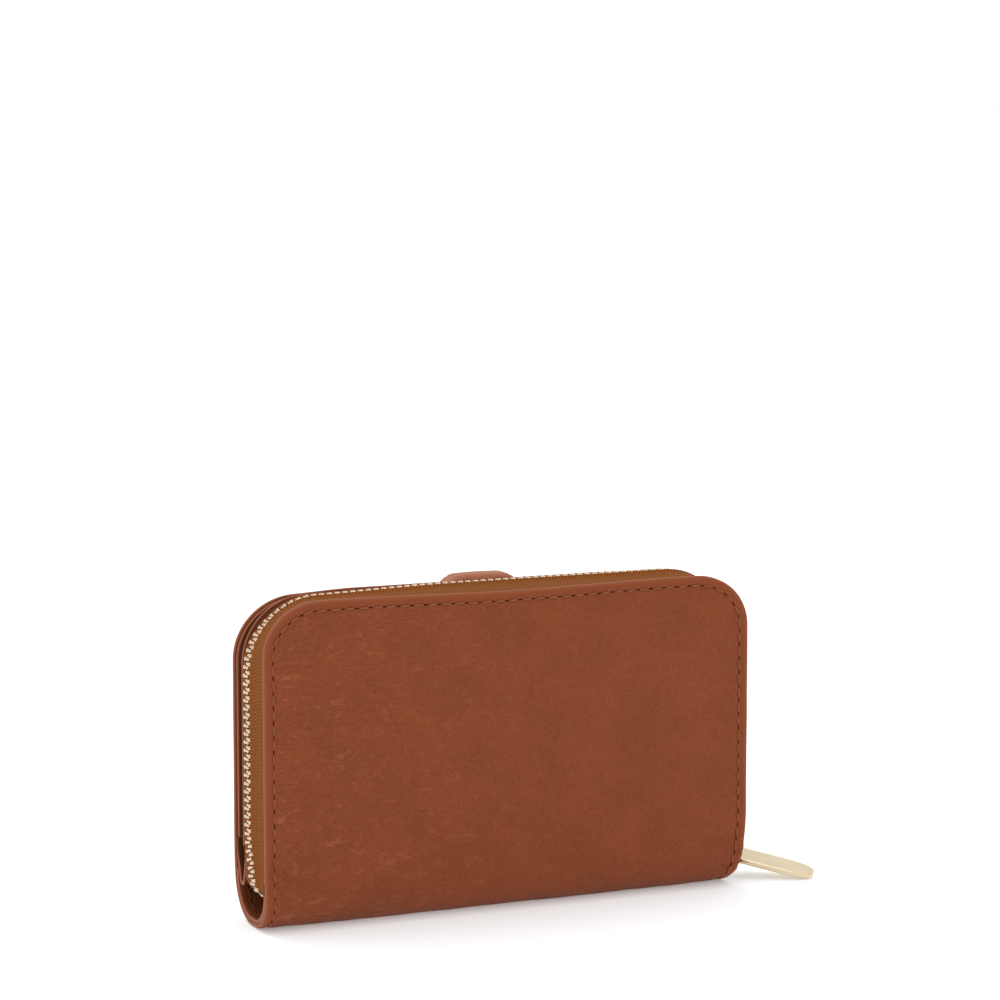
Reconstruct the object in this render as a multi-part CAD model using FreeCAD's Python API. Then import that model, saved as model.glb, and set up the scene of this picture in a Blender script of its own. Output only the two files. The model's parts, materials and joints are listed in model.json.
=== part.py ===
import FreeCAD, Part
import math
import os

# A zip around wallet that stands on its folded spine.
# X runs along the spine, Y from the zipped rear half to the flap, Z up.
# The origin is on the floor, under the middle of the spine. All sizes are in millimetres.

Vec = FreeCAD.Vector

# ---- driving dimensions ----
WIDTH = 152.5            # along the spine
HEIGHT = 95.0            # top of the rear panel
REAR_CORNER = 15.5       # radius of the rear panel's top corners
ZIP_CORNER = 20.0        # ... of the zip and of the layers inside it
FLAP_TOP = 93.7
FLAP_CORNER = 18.5
SPINE_RADIUS = 13.2      # outer radius of the folded spine
FOOT_HALF = 3.2          # half width of the flat that the spine stands on
LEATHER = 1.3
LINING = 0.45            # lining cloth, and the card slots' thin leather
BOARD = 0.45             # stiffening board
REAR_HINGE = (-13.6, 11.5)     # y, z of the line that the rear half folds about
FLAP_HINGE = (13.65, 24.0)     # y, z of the line that the flap folds about
TAB_HINGE = (9.3, 94.45)       # y, z of the line that the closing tab lifts about
CUT = 0.1                # half of the gap left at a fold line
GAP = 0.05               # gap between layers that lie on each other

CHAIN_Y = 0.6            # middle of the zip chain
TAPE_OUT = 0.3           # the tape's face lies this far inside the outline
TAPE_THICK = 0.55
TAPE_TOP = 94.9
TAPE_SEAM = 7.5          # width of tape sewn between the layers
TAPE_EDGE = 1.4          # from the chain's middle to each tape's edge
TOOTH_PITCH = 2.4
TOOTH_IN = 0.55          # teeth reach from here ...
TOOTH_OUT = 2.9          # ... to here, measured from the chain's middle
TOOTH_LONG = 1.25        # along the chain
TOOTH_THICK = 2.2
TOOTH_SLACK = 0.15       # room for the tape in a tooth's foot
TAPE_BOTTOM = 11.7
CHAIN_BOTTOM = 14.6      # the lowest tooth at the right end
FOOT_TURN = 6.5          # radius of the chain's turn inward at its left end
FOOT_SPAN = math.radians(84.0)
FOOT_Z = 15.0            # the middle of that turn
FOOT_LONG = 7.0          # from the outline to the end of the turned-in tape
FOOT_REAR = -9.5         # the turned-in tape reaches from here ...
FOOT_FRONT = 4.9         # ... to here

SLIDER_Z = (13.4, 23.4)
SLIDER_HALF = 4.0
SLIDER_BACK = 1.1        # thickness of the slider's inner plate
SLIDER_FRONT = 1.2       # ... and of its outer one
SLIDER_CLEAR = 0.22      # from the teeth to each plate
BAIL_OUT = 81.95         # x of the middle of the bail's outer bar
BAIL_THICK = 0.9
BAIL_HALF = 0.55

TAB_HALF = 11.0
TAB_TIP = 66.0           # lower end of the tab's strap
TAB_LINING = 0.6
TAB_LEATHER = 1.15
TAB_DROP = 4.35          # from the tab's hinge forward to the strap's inner face
SNAP_Z = 75.0
CAP_RADIUS = 6.0         # the snap's pieces, from the outside in
SOCKET_RADIUS = 4.6
STUD_RADIUS = 4.4
RIVET_RADIUS = 3.6

EYE = Vec(80.9, 1.76, 6.35)    # axis of the puller tag's knuckle
TAG_AZIMUTH = 36.3             # turned this far from +X towards the rear
TAG_SLOPE = 11.8               # falls this much towards its tip
TAG_ROLL = 9.2                 # leans this much towards the rear
TAG_REACH = 24.9               # from the knuckle to the tip
TAG_HALF_LONG = 14.4
TAG_HALF_WIDE = 5.0
TAG_THICK = 1.9
TAG_POWER = 3.2                # the tag's outline is a superellipse of this power
TAG_SHOULDER = 2.0             # where the outline starts, from the knuckle
KNUCKLE = 1.35                 # radius
LINK_LONG = 9.2
LINK_HALF = 1.9
WIRE = 0.5                     # radius of the link's wire

HALF = WIDTH / 2.0
REAR_FACE = -SPINE_RADIUS
SPINE_Z = math.sqrt(SPINE_RADIUS ** 2 - FOOT_HALF ** 2)   # height of the spine's centre
MIDDLE_Y = 6.4                 # the middle panel's leather starts here
MIDDLE_LEATHER = 1.0
MIDDLE_LOW = 22.1              # lower edge of the middle panel and its layers
SHELL_THICK = 1.8              # the inner shell's leather, lined on both faces
CARD_HALF = 60.0
POCKET_HALF = HALF - 9.0
POCKET_TOP = 68.0
FLAP_OUT = 13.3                # the flap's outer face
FLAP_MID = 11.9                # ... the back of its outer leather
FLAP_IN = 9.9                  # ... and its inner face
SEAM_CLEAR = TAPE_OUT + TAPE_SEAM + 0.4   # boards stay inside the sewn tape

os.makedirs("parts", exist_ok=True)


def save(name, shape):
    shape.exportStep("parts/" + name + ".step")


# ---- shape helpers ----
def panel(y0, y1, half, low, top, radius, low_radius=0.0):
    """A plate in the XZ plane with rounded top corners, from y0 to y1."""
    r = radius
    b = low_radius
    edges = []

    def line(x0, z0, x1, z1):
        edges.append(Part.LineSegment(Vec(x0, y0, z0), Vec(x1, y0, z1)).toShape())

    def arc(cx, cz, rad, a0, a1):
        pts = []
        for a in (a0, (a0 + a1) / 2.0, a1):
            t = math.radians(a)
            pts.append(Vec(cx + rad * math.cos(t), y0, cz + rad * math.sin(t)))
        edges.append(Part.Arc(*pts).toShape())

    line(-half + b, low, half - b, low)
    if b:
        arc(half - b, low + b, b, -90, 0)
    line(half, low + b, half, top - r)
    arc(half - r, top - r, r, 0, 90)
    line(half - r, top, -half + r, top)
    arc(-half + r, top - r, r, 90, 180)
    line(-half, top - r, -half, low + b)
    if b:
        arc(-half + b, low + b, b, 180, 270)
    return Part.Face(Part.Wire(edges)).extrude(Vec(0, y1 - y0, 0))


def rear_plate(y0, y1, inset, low, corner=ZIP_CORNER):
    """A plate with the rear half's outline, drawn in by inset."""
    return panel(y0, y1, HALF - inset, low, HEIGHT - inset, corner - inset)


def flap_plate(y0, y1, inset, low):
    return panel(y0, y1, HALF - inset, low, FLAP_TOP - inset, FLAP_CORNER - inset)


def ribbon(points, thick, radius, low, high, plane="YZ"):
    """A strip of constant thickness along points, its bends rounded, from low to high."""
    pts = [Vec(a, b, 0) for a, b in points]
    left = []
    right = []
    for i, p in enumerate(pts):
        if i in (0, len(pts) - 1):
            d = (pts[1] - p) if i == 0 else (p - pts[i - 1])
            d.normalize()
            n = Vec(-d.y, d.x, 0)
            left.append((p + n * (thick / 2.0),))
            right.append((p - n * (thick / 2.0),))
            continue
        a = (p - pts[i - 1]).normalize()
        b = (pts[i + 1] - p).normalize()
        turn = math.atan2(a.x * b.y - a.y * b.x, a.dot(b))
        side = 1.0 if turn > 0 else -1.0
        cut = radius * math.tan(abs(turn) / 2.0)
        start = p - a * cut
        centre = start + Vec(-a.y, a.x, 0) * (side * radius)
        arms = [start - centre, None, p + b * cut - centre]
        arms[1] = arms[0] + arms[2]
        for arm in arms:
            arm.normalize()
        for rail, offset in ((left, -side), (right, side)):
            r = radius + offset * thick / 2.0
            rail.append(tuple(centre + arm * r for arm in arms))
    edges = []

    def rail_edges(rail):
        last = None
        for item in rail:
            if last is not None:
                edges.append(Part.LineSegment(last, item[0]).toShape())
            if len(item) == 3:
                edges.append(Part.Arc(item[0], item[1], item[2]).toShape())
            last = item[-1]
        return last

    end_left = rail_edges(left)
    back = [tuple(reversed(item)) for item in reversed(right)]
    edges.append(Part.LineSegment(end_left, back[0][0]).toShape())
    end_right = rail_edges(back)
    edges.append(Part.LineSegment(end_right, left[0][0]).toShape())
    shape = Part.Face(Part.Wire(edges)).extrude(Vec(0, 0, high - low))
    if plane == "YZ":
        # local x, y, z become y, z, x
        turn = FreeCAD.Matrix(0, 0, 1, low, 1, 0, 0, 0, 0, 1, 0, 0, 0, 0, 0, 1)
    else:
        # local x, y, z become x, z, -y
        turn = FreeCAD.Matrix(1, 0, 0, 0, 0, 0, -1, high, 0, 1, 0, 0, 0, 0, 0, 1)
    shape.Placement = FreeCAD.Placement(turn)
    return shape


def block(x0, x1, y0, y1, z0, z1):
    return Part.makeBox(x1 - x0, y1 - y0, z1 - z0, Vec(x0, y0, z0))


def disc(radius, y0, y1, z, x=0.0):
    return Part.makeCylinder(radius, y1 - y0, Vec(x, y0, z), Vec(0, 1, 0))


def x_cylinder(radius, y, z, x0=-HALF, x1=HALF):
    return Part.makeCylinder(radius, x1 - x0, Vec(x0, y, z), Vec(1, 0, 0))


# ---- the folded spine ----
def spine_layer(outer, inner, rear_top, front_top, half):
    """One layer of the spine: the lower half of a tube with upright ends, flat underneath."""
    tube = x_cylinder(outer, 0, SPINE_Z, -half, half).cut(x_cylinder(inner, 0, SPINE_Z, -half, half))
    lower = tube.common(block(-half, half, -outer, outer, 0, SPINE_Z))
    front = block(-half, half, inner, outer, SPINE_Z, front_top)
    shape = lower.fuse(front).removeSplitter()
    return shape.cut(block(-half, half, -outer - 1, 0, rear_top, SPINE_Z + 1))


def make_spine():
    leather_in = SPINE_RADIUS - LEATHER
    top = FLAP_HINGE[1] - CUT
    save("spine_leather", spine_layer(SPINE_RADIUS, leather_in, REAR_HINGE[1] - CUT, top, HALF))
    lining_out = leather_in - GAP
    lining = spine_layer(lining_out, lining_out - 0.85, REAR_HINGE[1] - CUT, 15.0, HALF - 0.4)
    save("spine_lining", lining)


# ---- the inner shell, which folds down and back up between the flap and the middle ----
def make_inner_shell():
    low = 12.45
    rear_leg = MIDDLE_Y + GAP
    fold = [(10.9, FLAP_HINGE[1] - CUT), (9.3, low), (rear_leg, low), (rear_leg, MIDDLE_LOW - CUT)]
    save("inner_shell_fold", ribbon(fold, SHELL_THICK, 1.25, -HALF + 0.4, HALF - 0.4))
    save("middle_panel", rear_plate(MIDDLE_Y, MIDDLE_Y + MIDDLE_LEATHER, 0.85, MIDDLE_LOW))
    back = MIDDLE_Y - GAP
    save("middle_board", rear_plate(back - BOARD, back, SEAM_CLEAR, MIDDLE_LOW))
    back -= BOARD + GAP
    save("middle_lining", rear_plate(back - 0.55, back, 1.3, MIDDLE_LOW))
    # the slip pocket and the compartment's floor stand behind the fold's rear leg
    pocket = MIDDLE_Y - 2.0
    save("middle_slip_pocket", panel(pocket, pocket + LINING, POCKET_HALF, 16.5, POCKET_TOP, 3.0))
    end = MIDDLE_Y - 1.2
    floor = [(-10.6, 12.3), (end, 12.3), (end, MIDDLE_LOW - CUT)]
    save("compartment_floor", ribbon(floor, 0.5, 3.0, -HALF + FOOT_LONG + 1.0, HALF - 3.25))


def make_card_slots():
    """Three stepped card slots on the middle panel's front and two inside the flap."""
    step = LINING + GAP
    for i, top in enumerate((78.0, 66.0, 54.0)):
        y = MIDDLE_Y + MIDDLE_LEATHER + GAP + i * step
        save("card_slot_%d" % (i + 1), panel(y, y + LINING, CARD_HALF, 26.0, top, 2.5))
    for i, top in enumerate((72.0, 60.0)):
        y = FLAP_IN - GAP - i * step
        save("flap_card_slot_%d" % (i + 1), panel(y - LINING, y, CARD_HALF, 28.0, top, 2.5))


# ---- rear half ----
def make_rear_half():
    low = REAR_HINGE[1] + CUT
    y = REAR_FACE + LEATHER
    save("rear_panel", rear_plate(REAR_FACE, y, 0.0, low, REAR_CORNER))
    save("rear_board", rear_plate(y + GAP, y + GAP + BOARD, SEAM_CLEAR, low + 0.4))
    y += GAP + BOARD + 0.1
    save("rear_lining", rear_plate(y, y + LINING, 1.3, low + 1.3))
    y += LINING + GAP
    save("rear_slip_pocket", panel(y, y + LINING, POCKET_HALF, 14.0, POCKET_TOP, 3.0))


# ---- zip ----
def tape_frame(y0, y1, wide):
    """A band of that width inside the tape's outline: both sides and the top."""
    half = HALF - TAPE_OUT
    radius = ZIP_CORNER - TAPE_OUT
    outer = panel(y0, y1, half, TAPE_BOTTOM, TAPE_TOP, radius)
    return outer.cut(panel(y0 - 1, y1 + 1, half - wide, TAPE_BOTTOM - 1, TAPE_TOP - wide, radius - wide))


def zip_band(y0, y1, rear, front):
    """The tape's own thickness round the outline, with a left foot that turns in between rear and front."""
    half = HALF - TAPE_OUT
    radius = ZIP_CORNER - TAPE_OUT
    foot_radius = FOOT_TURN + TAPE_THICK / 2.0
    low = FOOT_Z - foot_radius
    outer = panel(y0, y1, half, low, TAPE_TOP, radius, foot_radius)
    inner = panel(y0 - 1, y1 + 1, half - TAPE_THICK, low + TAPE_THICK, TAPE_TOP - TAPE_THICK,
                  radius - TAPE_THICK, foot_radius - TAPE_THICK)
    foot = outer.cut(inner).common(block(-HALF, -HALF + FOOT_LONG, rear, front, 0, FOOT_Z))
    sides = tape_frame(y0, y1, TAPE_THICK)
    sides = sides.cut(block(-HALF, 0, y0 - 1, y1 + 1, 0, FOOT_Z))
    return sides.fuse(foot)


def make_tapes():
    ends = (-HALF - 1, HALF + 1)
    inner = REAR_FACE + LEATHER + GAP
    free = CHAIN_Y - TAPE_EDGE
    rear = zip_band(inner, free, FOOT_REAR, free)
    save("rear_zip_tape", rear.fuse(tape_frame(inner, inner + BOARD, TAPE_SEAM)).removeSplitter())

    back = MIDDLE_Y - GAP
    free = CHAIN_Y + TAPE_EDGE
    front = zip_band(free, back, free, FOOT_FRONT)
    front = front.fuse(tape_frame(back - BOARD, back, TAPE_SEAM)).removeSplitter()
    # the fold's rear leg passes just in front, so the tape stops short of it low down
    low_front = block(*ends, MIDDLE_Y - 1, MIDDLE_Y + 1, 0, MIDDLE_LOW - GAP)
    corner_radius = 3.0
    corner_y = MIDDLE_Y - 1 - corner_radius
    corner_z = TAPE_BOTTOM + corner_radius
    corner = block(0, ends[1], corner_y, MIDDLE_Y, TAPE_BOTTOM - 1, corner_z)
    corner = corner.cut(x_cylinder(corner_radius, corner_y, corner_z, *ends))
    save("front_zip_tape", front.cut(low_front).cut(corner))


def chain_places(first):
    """Places, ways along and ways across for each tooth, from the right end to the left."""
    x = HALF - TAPE_OUT - TAPE_THICK / 2.0
    z_top = TAPE_TOP - TAPE_THICK / 2.0
    r = ZIP_CORNER - TAPE_OUT - TAPE_THICK / 2.0
    side_right = z_top - r - CHAIN_BOTTOM
    quarter = math.pi * r / 2.0
    top = 2.0 * (x - r)
    side_left = z_top - r - FOOT_Z
    turn = FOOT_TURN * FOOT_SPAN
    total = side_right + 2.0 * quarter + top + side_left + turn
    front = Vec(0, 1, 0)
    s = first
    while s <= total:
        d = s
        if d < side_right:
            yield Vec(x, CHAIN_Y, CHAIN_BOTTOM + d), Vec(0, 0, 1), front
        elif d < side_right + quarter:
            a = (d - side_right) / r
            at = Vec(x - r + r * math.cos(a), CHAIN_Y, z_top - r + r * math.sin(a))
            yield at, Vec(-math.sin(a), 0, math.cos(a)), front
        elif d < side_right + quarter + top:
            d -= side_right + quarter
            yield Vec(x - r - d, CHAIN_Y, z_top), Vec(-1, 0, 0), front
        elif d < side_right + 2.0 * quarter + top:
            a = (d - side_right - quarter - top) / r
            at = Vec(-x + r - r * math.sin(a), CHAIN_Y, z_top - r + r * math.cos(a))
            yield at, Vec(-math.cos(a), 0, -math.sin(a)), front
        elif d < total - turn:
            d -= side_right + 2.0 * quarter + top
            yield Vec(-x, CHAIN_Y, z_top - r - d), Vec(0, 0, -1), front
        else:
            a = (d - (total - turn)) / FOOT_TURN
            at = Vec(-x + FOOT_TURN - FOOT_TURN * math.cos(a), CHAIN_Y, FOOT_Z - FOOT_TURN * math.sin(a))
            yield at, Vec(math.sin(a), 0, -math.cos(a)), front
        s += TOOTH_PITCH


def tooth(at, along, across, side):
    """One tooth on the front (side 1) or rear (side -1) row."""
    up = along.cross(across)
    place = FreeCAD.Matrix(along.x, across.x, up.x, at.x,
                           along.y, across.y, up.y, at.y,
                           along.z, across.z, up.z, at.z,
                           0, 0, 0, 1)
    y0 = TOOTH_IN if side > 0 else -TOOTH_OUT
    start = -TOOTH_LONG / 2.0
    body = Part.makeBox(TOOTH_LONG, TOOTH_OUT - TOOTH_IN, TOOTH_THICK, Vec(start, y0, -TOOTH_THICK / 2.0))
    # a slot in the tooth's foot lets the tape pass
    edge = TAPE_EDGE - GAP
    slot = Part.makeBox(TOOTH_LONG + 1, 2.0, TAPE_THICK + TOOTH_SLACK,
                        Vec(start - 0.5, edge if side > 0 else -edge - 2.0, -(TAPE_THICK + TOOTH_SLACK) / 2.0))
    body = body.cut(slot)
    body.Placement = FreeCAD.Placement(place)
    return body


def make_teeth():
    save("front_teeth", Part.makeCompound([tooth(*p, 1) for p in chain_places(0.0)]))
    # the rear row, half a pitch along, stops above the slider so that the rear half can swing away
    clear = SLIDER_Z[1] + 1.6
    rear = [p for p in chain_places(TOOTH_PITCH / 2.0) if p[0].x < 0 or p[0].z > clear]
    save("rear_teeth", Part.makeCompound([tooth(*p, -1) for p in rear]))


def make_stop():
    """The clip below the parked slider, squeezed over the front tape's edge."""
    x = HALF - TAPE_OUT - TAPE_THICK / 2.0
    slot = (TAPE_THICK + GAP) / 2.0
    near, edge, far = [CHAIN_Y + d for d in (TOOTH_IN, TAPE_EDGE - GAP, TOOTH_OUT)]
    clip = block(x - 1.0, x + 1.0, near, far, TAPE_BOTTOM + 0.1, SLIDER_Z[0] - 0.15)
    tape = block(x - slot, x + slot, edge, far + 1.0, TAPE_BOTTOM, SLIDER_Z[0])
    save("zip_stop", clip.cut(tape))


# ---- slider, link and puller ----
def make_slider():
    z0, z1 = SLIDER_Z
    y0, y1 = CHAIN_Y - SLIDER_HALF, CHAIN_Y + SLIDER_HALF
    mid = HALF - TAPE_OUT - TAPE_THICK / 2.0
    clear = TOOTH_THICK / 2.0 + SLIDER_CLEAR
    lip_thick = 0.75
    shape = None
    for side, thick in ((1, SLIDER_FRONT), (-1, SLIDER_BACK)):
        face = mid + side * clear
        plate = block(min(face, face + side * thick), max(face, face + side * thick), y0, y1, z0, z1)
        upright = [e for e in plate.Edges if abs(e.Vertexes[0].Z - e.Vertexes[-1].Z) < 1e-6
                   and abs(e.Vertexes[0].Y - e.Vertexes[-1].Y) < 1e-6]
        plate = plate.makeFillet(1.6, upright)
        shape = plate if shape is None else shape.fuse(plate)
        # the lips that hold the teeth in, one on each edge
        lip = mid + side * (TAPE_THICK / 2.0 + 0.15)
        for y in (y0, y1 - lip_thick):
            lips = block(min(face, lip), max(face, lip), y, y + lip_thick, z0 + 1.6, z1 - 1.6)
            shape = shape.fuse(lips)
    # the post that joins the plates and parts the teeth
    reach = clear + 0.1
    post = block(mid - reach, mid + reach, CHAIN_Y - 0.4, CHAIN_Y + 0.4, z0 + 0.3, z0 + 3.3)
    save("slider_body", shape.fuse(post).removeSplitter())
    face = mid + clear + SLIDER_FRONT
    low, high = z0 + 0.45, z1 - 1.9
    arch = [(face, low), (BAIL_OUT, low), (BAIL_OUT, high), (face, high)]
    sides = (CHAIN_Y - BAIL_HALF, CHAIN_Y + BAIL_HALF)
    save("slider_bail", ribbon(arch, BAIL_THICK, 1.5, *sides, "XZ"))


def tag_axes():
    """The tag's own axes: along it, across it (to the rear) and out of its upper face."""
    turn = math.radians(TAG_AZIMUTH)
    fall = math.radians(TAG_SLOPE)
    lean = math.radians(TAG_ROLL)
    along = Vec(math.cos(turn) * math.cos(fall), -math.sin(turn) * math.cos(fall), -math.sin(fall))
    level = Vec(-math.sin(turn), -math.cos(turn), 0)
    face = along.cross(level)
    if face.z < 0:
        face = face * -1.0
    across = level * math.cos(lean) - face * math.sin(lean)
    up = face * math.cos(lean) + level * math.sin(lean)
    return along, across, up


def link_axes():
    """The link hangs square to its two bars: the way down it, and the upper bar's place."""
    across = tag_axes()[1]
    down = Vec(0, 0, -1)
    down = down - across * down.dot(across)
    down.normalize()
    return down, EYE - down * LINK_LONG


def make_link():
    across = tag_axes()[1]
    down, upper = link_axes()
    start = upper - across * LINK_HALF
    out = [start, upper + across * LINK_HALF, EYE + across * LINK_HALF, EYE - across * LINK_HALF]
    shape = None
    for i, a in enumerate(out):
        b = out[(i + 1) % 4]
        bar = Part.makeCylinder(WIRE, (b - a).Length, a, b - a)
        ball = Part.makeSphere(WIRE, a)
        shape = bar.fuse(ball) if shape is None else shape.fuse(bar).fuse(ball)
    save("puller_link", shape.removeSplitter())


def make_puller():
    along, across, up = tag_axes()
    middle = TAG_REACH - TAG_HALF_LONG
    steps = 18
    near = []
    for i in range(steps + 1):
        # even steps of angle round the oval, from the shoulder to the tip
        a = math.acos(max(-1.0, (TAG_SHOULDER - middle) / TAG_HALF_LONG)) * (1 - i / steps)
        s = middle + TAG_HALF_LONG * math.cos(a)
        h = TAG_HALF_WIDE * (1 - abs((s - middle) / TAG_HALF_LONG) ** TAG_POWER) ** (1 / TAG_POWER)
        near.append((s, h))
    low = EYE - up * (TAG_THICK / 2.0)

    def at(s, h):
        return low + along * s + across * h

    curve = Part.BSplineCurve()
    pts = [at(s, h) for s, h in near] + [at(s, -h) for s, h in reversed(near[:-1])]
    curve.interpolate(pts)
    rim = [curve.toShape(), Part.LineSegment(pts[-1], pts[0]).toShape()]
    plate = Part.Face(Part.Wire(rim)).extrude(up * TAG_THICK)
    neck_half = LINK_HALF - WIRE - 0.2
    neck = Part.makeBox(TAG_SHOULDER + 0.6, 2 * neck_half, TAG_THICK)
    neck = neck.transformGeometry(FreeCAD.Matrix(
        along.x, across.x, up.x, low.x - across.x * neck_half,
        along.y, across.y, up.y, low.y - across.y * neck_half,
        along.z, across.z, up.z, low.z - across.z * neck_half,
        0, 0, 0, 1))
    knuckle = Part.makeCylinder(KNUCKLE, 2 * neck_half, EYE - across * neck_half, across)
    bore = Part.makeCylinder(WIRE + 0.08, 2 * neck_half + 2, EYE - across * (neck_half + 1), across)
    save("puller", plate.fuse(neck).fuse(knuckle).cut(bore).removeSplitter())


# ---- flap and closing tab ----
def make_flap():
    low = FLAP_HINGE[1] + CUT
    seat = 0.54
    outer = flap_plate(FLAP_MID, FLAP_OUT, 0.0, low)
    outer = outer.cut(disc(STUD_RADIUS + GAP, FLAP_OUT - seat - 0.01, FLAP_OUT + 1, SNAP_Z))
    save("flap_panel", outer.cut(disc(1.3, FLAP_MID - 1, FLAP_OUT, SNAP_Z)))
    board = flap_plate(FLAP_MID - 0.8, FLAP_MID - GAP, 4.0, low + 2.0)
    save("flap_board", board.cut(disc(RIVET_RADIUS + 0.1, FLAP_IN, FLAP_MID, SNAP_Z)))
    save("flap_inner_panel", flap_plate(FLAP_IN, FLAP_IN + 1.15, 0.35, low))
    back = FLAP_MID - 0.15
    stud = disc(STUD_RADIUS, FLAP_OUT - seat, FLAP_OUT, SNAP_Z)
    stud = stud.fuse(disc(1.9, FLAP_OUT, FLAP_OUT + 0.95, SNAP_Z)).fuse(disc(1.2, back, FLAP_OUT, SNAP_Z))
    save("snap_stud", stud.removeSplitter())
    save("snap_rivet", disc(RIVET_RADIUS, back - 0.6, back, SNAP_Z))


def tab_outline():
    return panel(-5.0, 20.0, TAB_HALF, TAB_TIP, TAB_TIP + 44.0, 4.0, 8.5)


def make_tab():
    y, z = TAB_HINGE
    half = TAB_HALF
    whole = TAB_LINING + TAB_LEATHER
    under = z + 0.1
    leg = y + TAB_DROP
    low = TAB_TIP - 6.0
    # the part sewn to the middle panel, up to the fold line
    root_y = MIDDLE_Y + MIDDLE_LEATHER + GAP
    save("tab_root", block(-half, half, root_y, y - 0.1, 80.0, z - 0.05))
    # the bend from the root to the strap, which straightens as the tab lifts
    bend = x_cylinder(whole + 0.1, y, z, -half, half).cut(x_cylinder(0.1, y, z, -half, half))
    bend = bend.common(block(-half, half, y - 5, y, z, z + 5))
    bend = bend.fuse(block(-half, half, y, y + 0.65, under, under + whole)).removeSplitter()
    save("tab_fold", bend)
    start = y + 0.7
    outline = tab_outline()
    centre = under + TAB_LINING / 2.0
    in_y = leg + TAB_LINING / 2.0
    inner = ribbon([(start, centre), (in_y, centre), (in_y, low)], TAB_LINING - GAP, 0.8, -half, half)
    socket_seat = disc(SOCKET_RADIUS + GAP, leg - 1, leg + 1.0, SNAP_Z)
    save("tab_lining", inner.common(outline).cut(socket_seat))
    centre = under + TAB_LINING + TAB_LEATHER / 2.0
    out_y = leg + TAB_LINING + TAB_LEATHER / 2.0
    outer = ribbon([(start, centre), (out_y, centre), (out_y, low)], TAB_LEATHER, 1.7, -half, half)
    outer = outer.common(outline).cut(socket_seat)
    save("tab_strap", outer.cut(disc(1.45, leg, leg + 3, SNAP_Z)))
    socket = disc(SOCKET_RADIUS, leg, leg + 0.95, SNAP_Z).cut(disc(2.1, leg - 1, leg + 0.75, SNAP_Z))
    save("snap_socket", socket)
    face = leg + whole
    cap = disc(CAP_RADIUS, face + 0.02, face + 0.85, SNAP_Z)
    around = 2 * math.pi * CAP_RADIUS
    rim = [e for e in cap.Edges if abs(e.Length - around) < 0.1 and e.BoundBox.YMax > face + 0.8]
    cap = cap.makeFillet(0.6, rim).fuse(disc(1.4, leg + 1.0, face + 0.1, SNAP_Z))
    save("snap_cap", cap.removeSplitter())


make_spine()
make_inner_shell()
make_card_slots()
make_rear_half()
make_tapes()
make_teeth()
make_stop()
make_slider()
make_link()
make_puller()
make_flap()
make_tab()
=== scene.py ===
import json
import math
import random

import bmesh
import bpy
import numpy as np
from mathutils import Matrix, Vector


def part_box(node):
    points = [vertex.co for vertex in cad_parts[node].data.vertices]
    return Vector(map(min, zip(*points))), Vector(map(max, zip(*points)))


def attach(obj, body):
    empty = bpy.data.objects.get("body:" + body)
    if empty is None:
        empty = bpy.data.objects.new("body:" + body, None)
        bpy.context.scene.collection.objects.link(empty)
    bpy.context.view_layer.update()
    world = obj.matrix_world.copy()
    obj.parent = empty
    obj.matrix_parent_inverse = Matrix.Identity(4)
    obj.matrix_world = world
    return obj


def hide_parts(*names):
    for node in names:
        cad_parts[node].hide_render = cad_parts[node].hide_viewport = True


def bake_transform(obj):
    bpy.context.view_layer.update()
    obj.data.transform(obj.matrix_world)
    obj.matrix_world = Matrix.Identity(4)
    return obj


# The looks of a zip around wallet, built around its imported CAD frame.
# Shapes are worked out in millimetres, in the frame's own axes, and made in metres.

MM = 0.001
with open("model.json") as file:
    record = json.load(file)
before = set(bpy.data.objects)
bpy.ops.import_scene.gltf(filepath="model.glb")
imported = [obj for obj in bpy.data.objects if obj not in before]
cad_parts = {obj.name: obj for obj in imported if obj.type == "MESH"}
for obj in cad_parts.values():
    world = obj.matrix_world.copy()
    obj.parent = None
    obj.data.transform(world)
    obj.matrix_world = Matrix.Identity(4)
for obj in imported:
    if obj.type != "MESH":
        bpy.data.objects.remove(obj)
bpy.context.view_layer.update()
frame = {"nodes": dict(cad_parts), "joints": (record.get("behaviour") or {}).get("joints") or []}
random.seed(11)
rng = np.random.default_rng(11)


def cad(node):
    """Lowest and highest corner of a CAD node, in millimetres."""
    low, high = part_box(node)
    return np.array(low) / MM, np.array(high) / MM


# ---- sizes in millimetres, read from the frame where a CAD node has them ----
rear_low, rear_high = cad("rear_panel")
flap_low, flap_high = cad("flap_panel")
inner_low, inner_high = cad("flap_inner_panel")
middle_low, middle_high = cad("middle_panel")
lining_low, lining_high = cad("rear_lining")
HALF = rear_high[0]
TOP = rear_high[2]
LEATHER = rear_high[1] - rear_low[1]
REAR_FOLD_Z = rear_low[2]
FLAP_FOLD_Z = flap_low[2]
# the spine is a round trough, cut flat where it stands
SPINE_RADIUS = -rear_low[1]
FOOT_HALF = 3.2
SPINE_Z = math.sqrt(SPINE_RADIUS ** 2 - FOOT_HALF ** 2)
SPINE_ARC = SPINE_RADIUS * math.pi / 2
# corner radii
REAR_CORNER = 15.5
ZIP_CORNER = 20.0
FLAP_CORNER = 18.5
# the zip: its middle, its tapes, its teeth, and the turn inward at its left-hand foot
CHAIN_Y = 0.6
TAPE_OUT = 0.3
TAPE_THICK = 0.55
TAPE_BOTTOM = 11.7
TAPE_TOP = TOP - 0.1
TAPE_EDGE = 1.4
TOOTH_PITCH = 2.4
FOOT_TURN = 6.5
FOOT_Z = 15.0
FOOT_SPAN = math.radians(84)
# the sewing
STITCH_INSET = 2.85
STITCH_PITCH = 4.2
STITCH_FILL = 0.68
SEAM_START = 5.6
THREAD = 0.27
INNER_INSET = 2.4
# how far a slab's back takes its pattern from its front's
BACK_SHIFT = np.array([37.0, 53.0, 0])


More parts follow.
